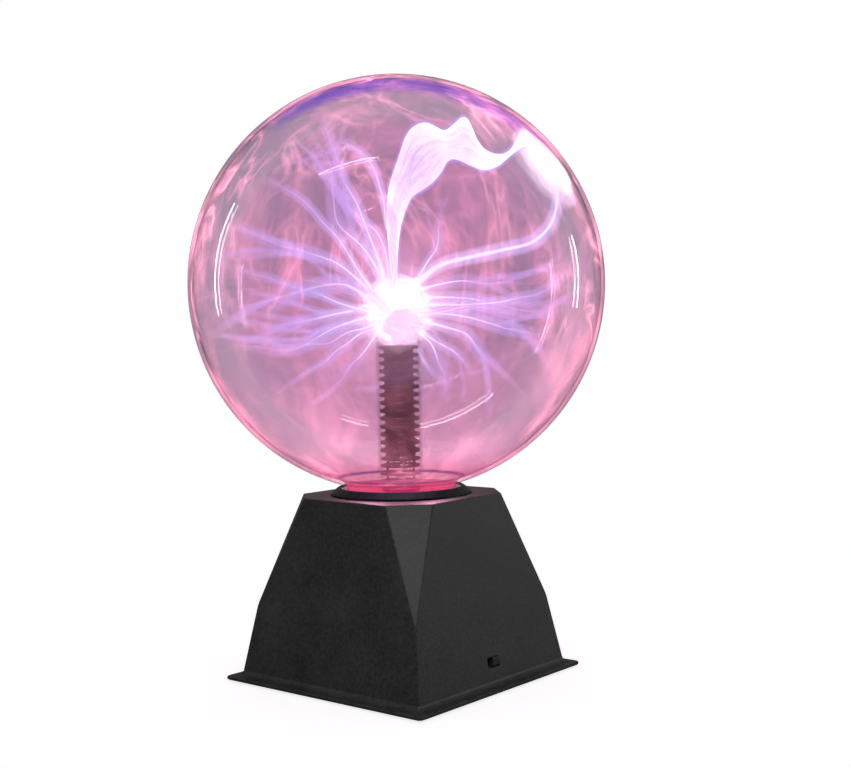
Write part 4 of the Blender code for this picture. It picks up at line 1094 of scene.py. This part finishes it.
def dress_base():
    """Plastics, metals, rubber and coatings of the CAD nodes that stay."""
    screws = numbered("cover_screw", 4) + numbered("retaining_screw", 3) + numbered("board_screw", 4)
    looks = (  # name, dark and light shade, (roughness, grain, bump, specular, metallic), nodes
        ("base_plastic_black", (0.005, 0.0055, 0.0065), (0.028, 0.0285, 0.029),
         (0.5, 1.6, 0.9, 0.3), "base_shell"),
        ("cover_plastic_black", (0.012, 0.012, 0.013), (0.022, 0.022, 0.023),
         (0.6, 1.1, 0.4), "bottom_cover"),
        ("collar_plastic_black", (0.003, 0.002, 0.004), (0.007, 0.005, 0.009),
         (0.4, 0.7, 0.2, 0.25), "collar_ring"),
        ("knob_plastic_black", (0.011, 0.011, 0.012), (0.02, 0.02, 0.021),
         (0.4, 0.4, 0.3), "switch_slider"),
        ("retainer_plastic_grey", (0.03, 0.03, 0.032), (0.05, 0.05, 0.052), (0.55,), "retaining_ring"),
        ("moulding_black", (0.008, 0.008, 0.009), (0.018, 0.018, 0.02), (0.42, 0.5, 0.2),
         "dc_jack", "power_transistor", "control_chip", "microphone", "switch_base"),
        ("foot_rubber_grey", (0.03, 0.03, 0.03), (0.06, 0.06, 0.058),
         (0.85, 0.7, 0.5), *numbered("foot", 4)),
        ("sealant_white", (0.55, 0.53, 0.5), (0.75, 0.73, 0.7), (0.45, 3.0, 0.6), "neck_sealant"),
        ("plated_steel_bright", (0.45, 0.45, 0.46), (0.68, 0.68, 0.69),
         (0.3, 0.4, 0.15, 0.5, 1.0), "switch_frame", "transistor_screw", *screws),
        ("contact_brass_warm", (0.55, 0.38, 0.14), (0.75, 0.55, 0.24),
         (0.28, 0.4, 0.15, 0.5, 1.0), "dc_jack_pin", "switch_contact", *numbered("switch_terminal", 4)),
        ("lead_silicone_red", (0.35, 0.02, 0.015), (0.5, 0.04, 0.03),
         (0.5, 0.8, 0.2), "high_voltage_lead"),
        ("plug_silicone_white", (0.6, 0.58, 0.55), (0.78, 0.76, 0.72), (0.5, 1.5, 0.3), "stem_plug"),
        ("board_phenolic", (0.19, 0.1, 0.035), (0.3, 0.17, 0.07), (0.55, 1.2, 0.3), "circuit_board"),
        ("ferrite_grey", (0.02, 0.02, 0.022), (0.05, 0.05, 0.052), (0.6, 1.0, 0.5), "transformer_core"),
        ("winding_resin_amber", (0.16, 0.06, 0.015), (0.3, 0.14, 0.04),
         (0.3, 2.0, 0.4), "secondary_winding"),
        ("copper_enamel", (0.5, 0.17, 0.06), (0.72, 0.3, 0.13),
         (0.3, 0.5, 0.5, 0.5, 0.9), "primary_winding"),
        ("sink_aluminium_dull", (0.5, 0.5, 0.5), (0.66, 0.66, 0.66),
         (0.4, 0.6, 0.2, 0.5, 1.0), "heat_sink"),
        ("capacitor_sleeve_blue", (0.01, 0.02, 0.09), (0.02, 0.04, 0.16),
         (0.3, 0.8, 0.1), *numbered("capacitor", 2)),
        ("film_case_red", (0.3, 0.05, 0.02), (0.45, 0.09, 0.04), (0.35, 0.8, 0.15), "film_capacitor"),
        ("resistor_coat_tan", (0.45, 0.3, 0.15), (0.6, 0.43, 0.24),
         (0.5, 0.6, 0.2), *numbered("resistor", 2)),
    )  # fmt: skip
    for name, dark, light, finish, *nodes in looks:
        paint(moulded(name, dark, light, *finish), *nodes)


def add_inner_lamps():
    """What the discharges light: the top of the base, the collar and the stem."""
    top = group("lit_top", [frame["nodes"]["base_shell"]])
    bulb("top_lamp", Vector((0, 0, COLLAR_TOP_Z + 32 * mm)), 0.03, 0.65, (1.0, 0.4, 0.62), top)
    names = ("sleeve_bands", "sleeve_posts", "core_ribbed", "core_cage", "steel_spring")
    near = group("lit_inside", [bpy.data.objects[name] for name in names] + [frame["nodes"]["collar_ring"]])
    bulb("gas_lamp", GLOBE_MIDDLE, 0.06, 0.15, (0.85, 0.5, 0.9), near)
    bulb("electrode_lamp", BALL_MIDDLE, 0.02, 0.12, (0.7, 0.6, 1.0), near)
    bulb("neck_lamp", Vector((0, 0, COLLAR_TOP_Z + 8 * mm)), 0.025, 0.04, (1.0, 0.25, 0.5), near)


scene = bpy.context.scene
scene.cycles.transparent_max_bounces = 64
scene.cycles.max_bounces = 10
scene.view_settings.view_transform = "Standard"

camera_right, camera_ahead = add_camera()
add_globe()
add_stem()
add_conductors()
add_electrode()
add_gas()
add_ribbon()
add_streamers()
add_glare()
add_rim_glow()
dress_base()
add_inner_lamps()
add_studio(camera_right, camera_ahead)

for obj in bpy.data.objects:
    if obj.type == "MESH" and obj.name.startswith(GLOWS):
        obj.visible_glossy = False
        obj.visible_shadow = False
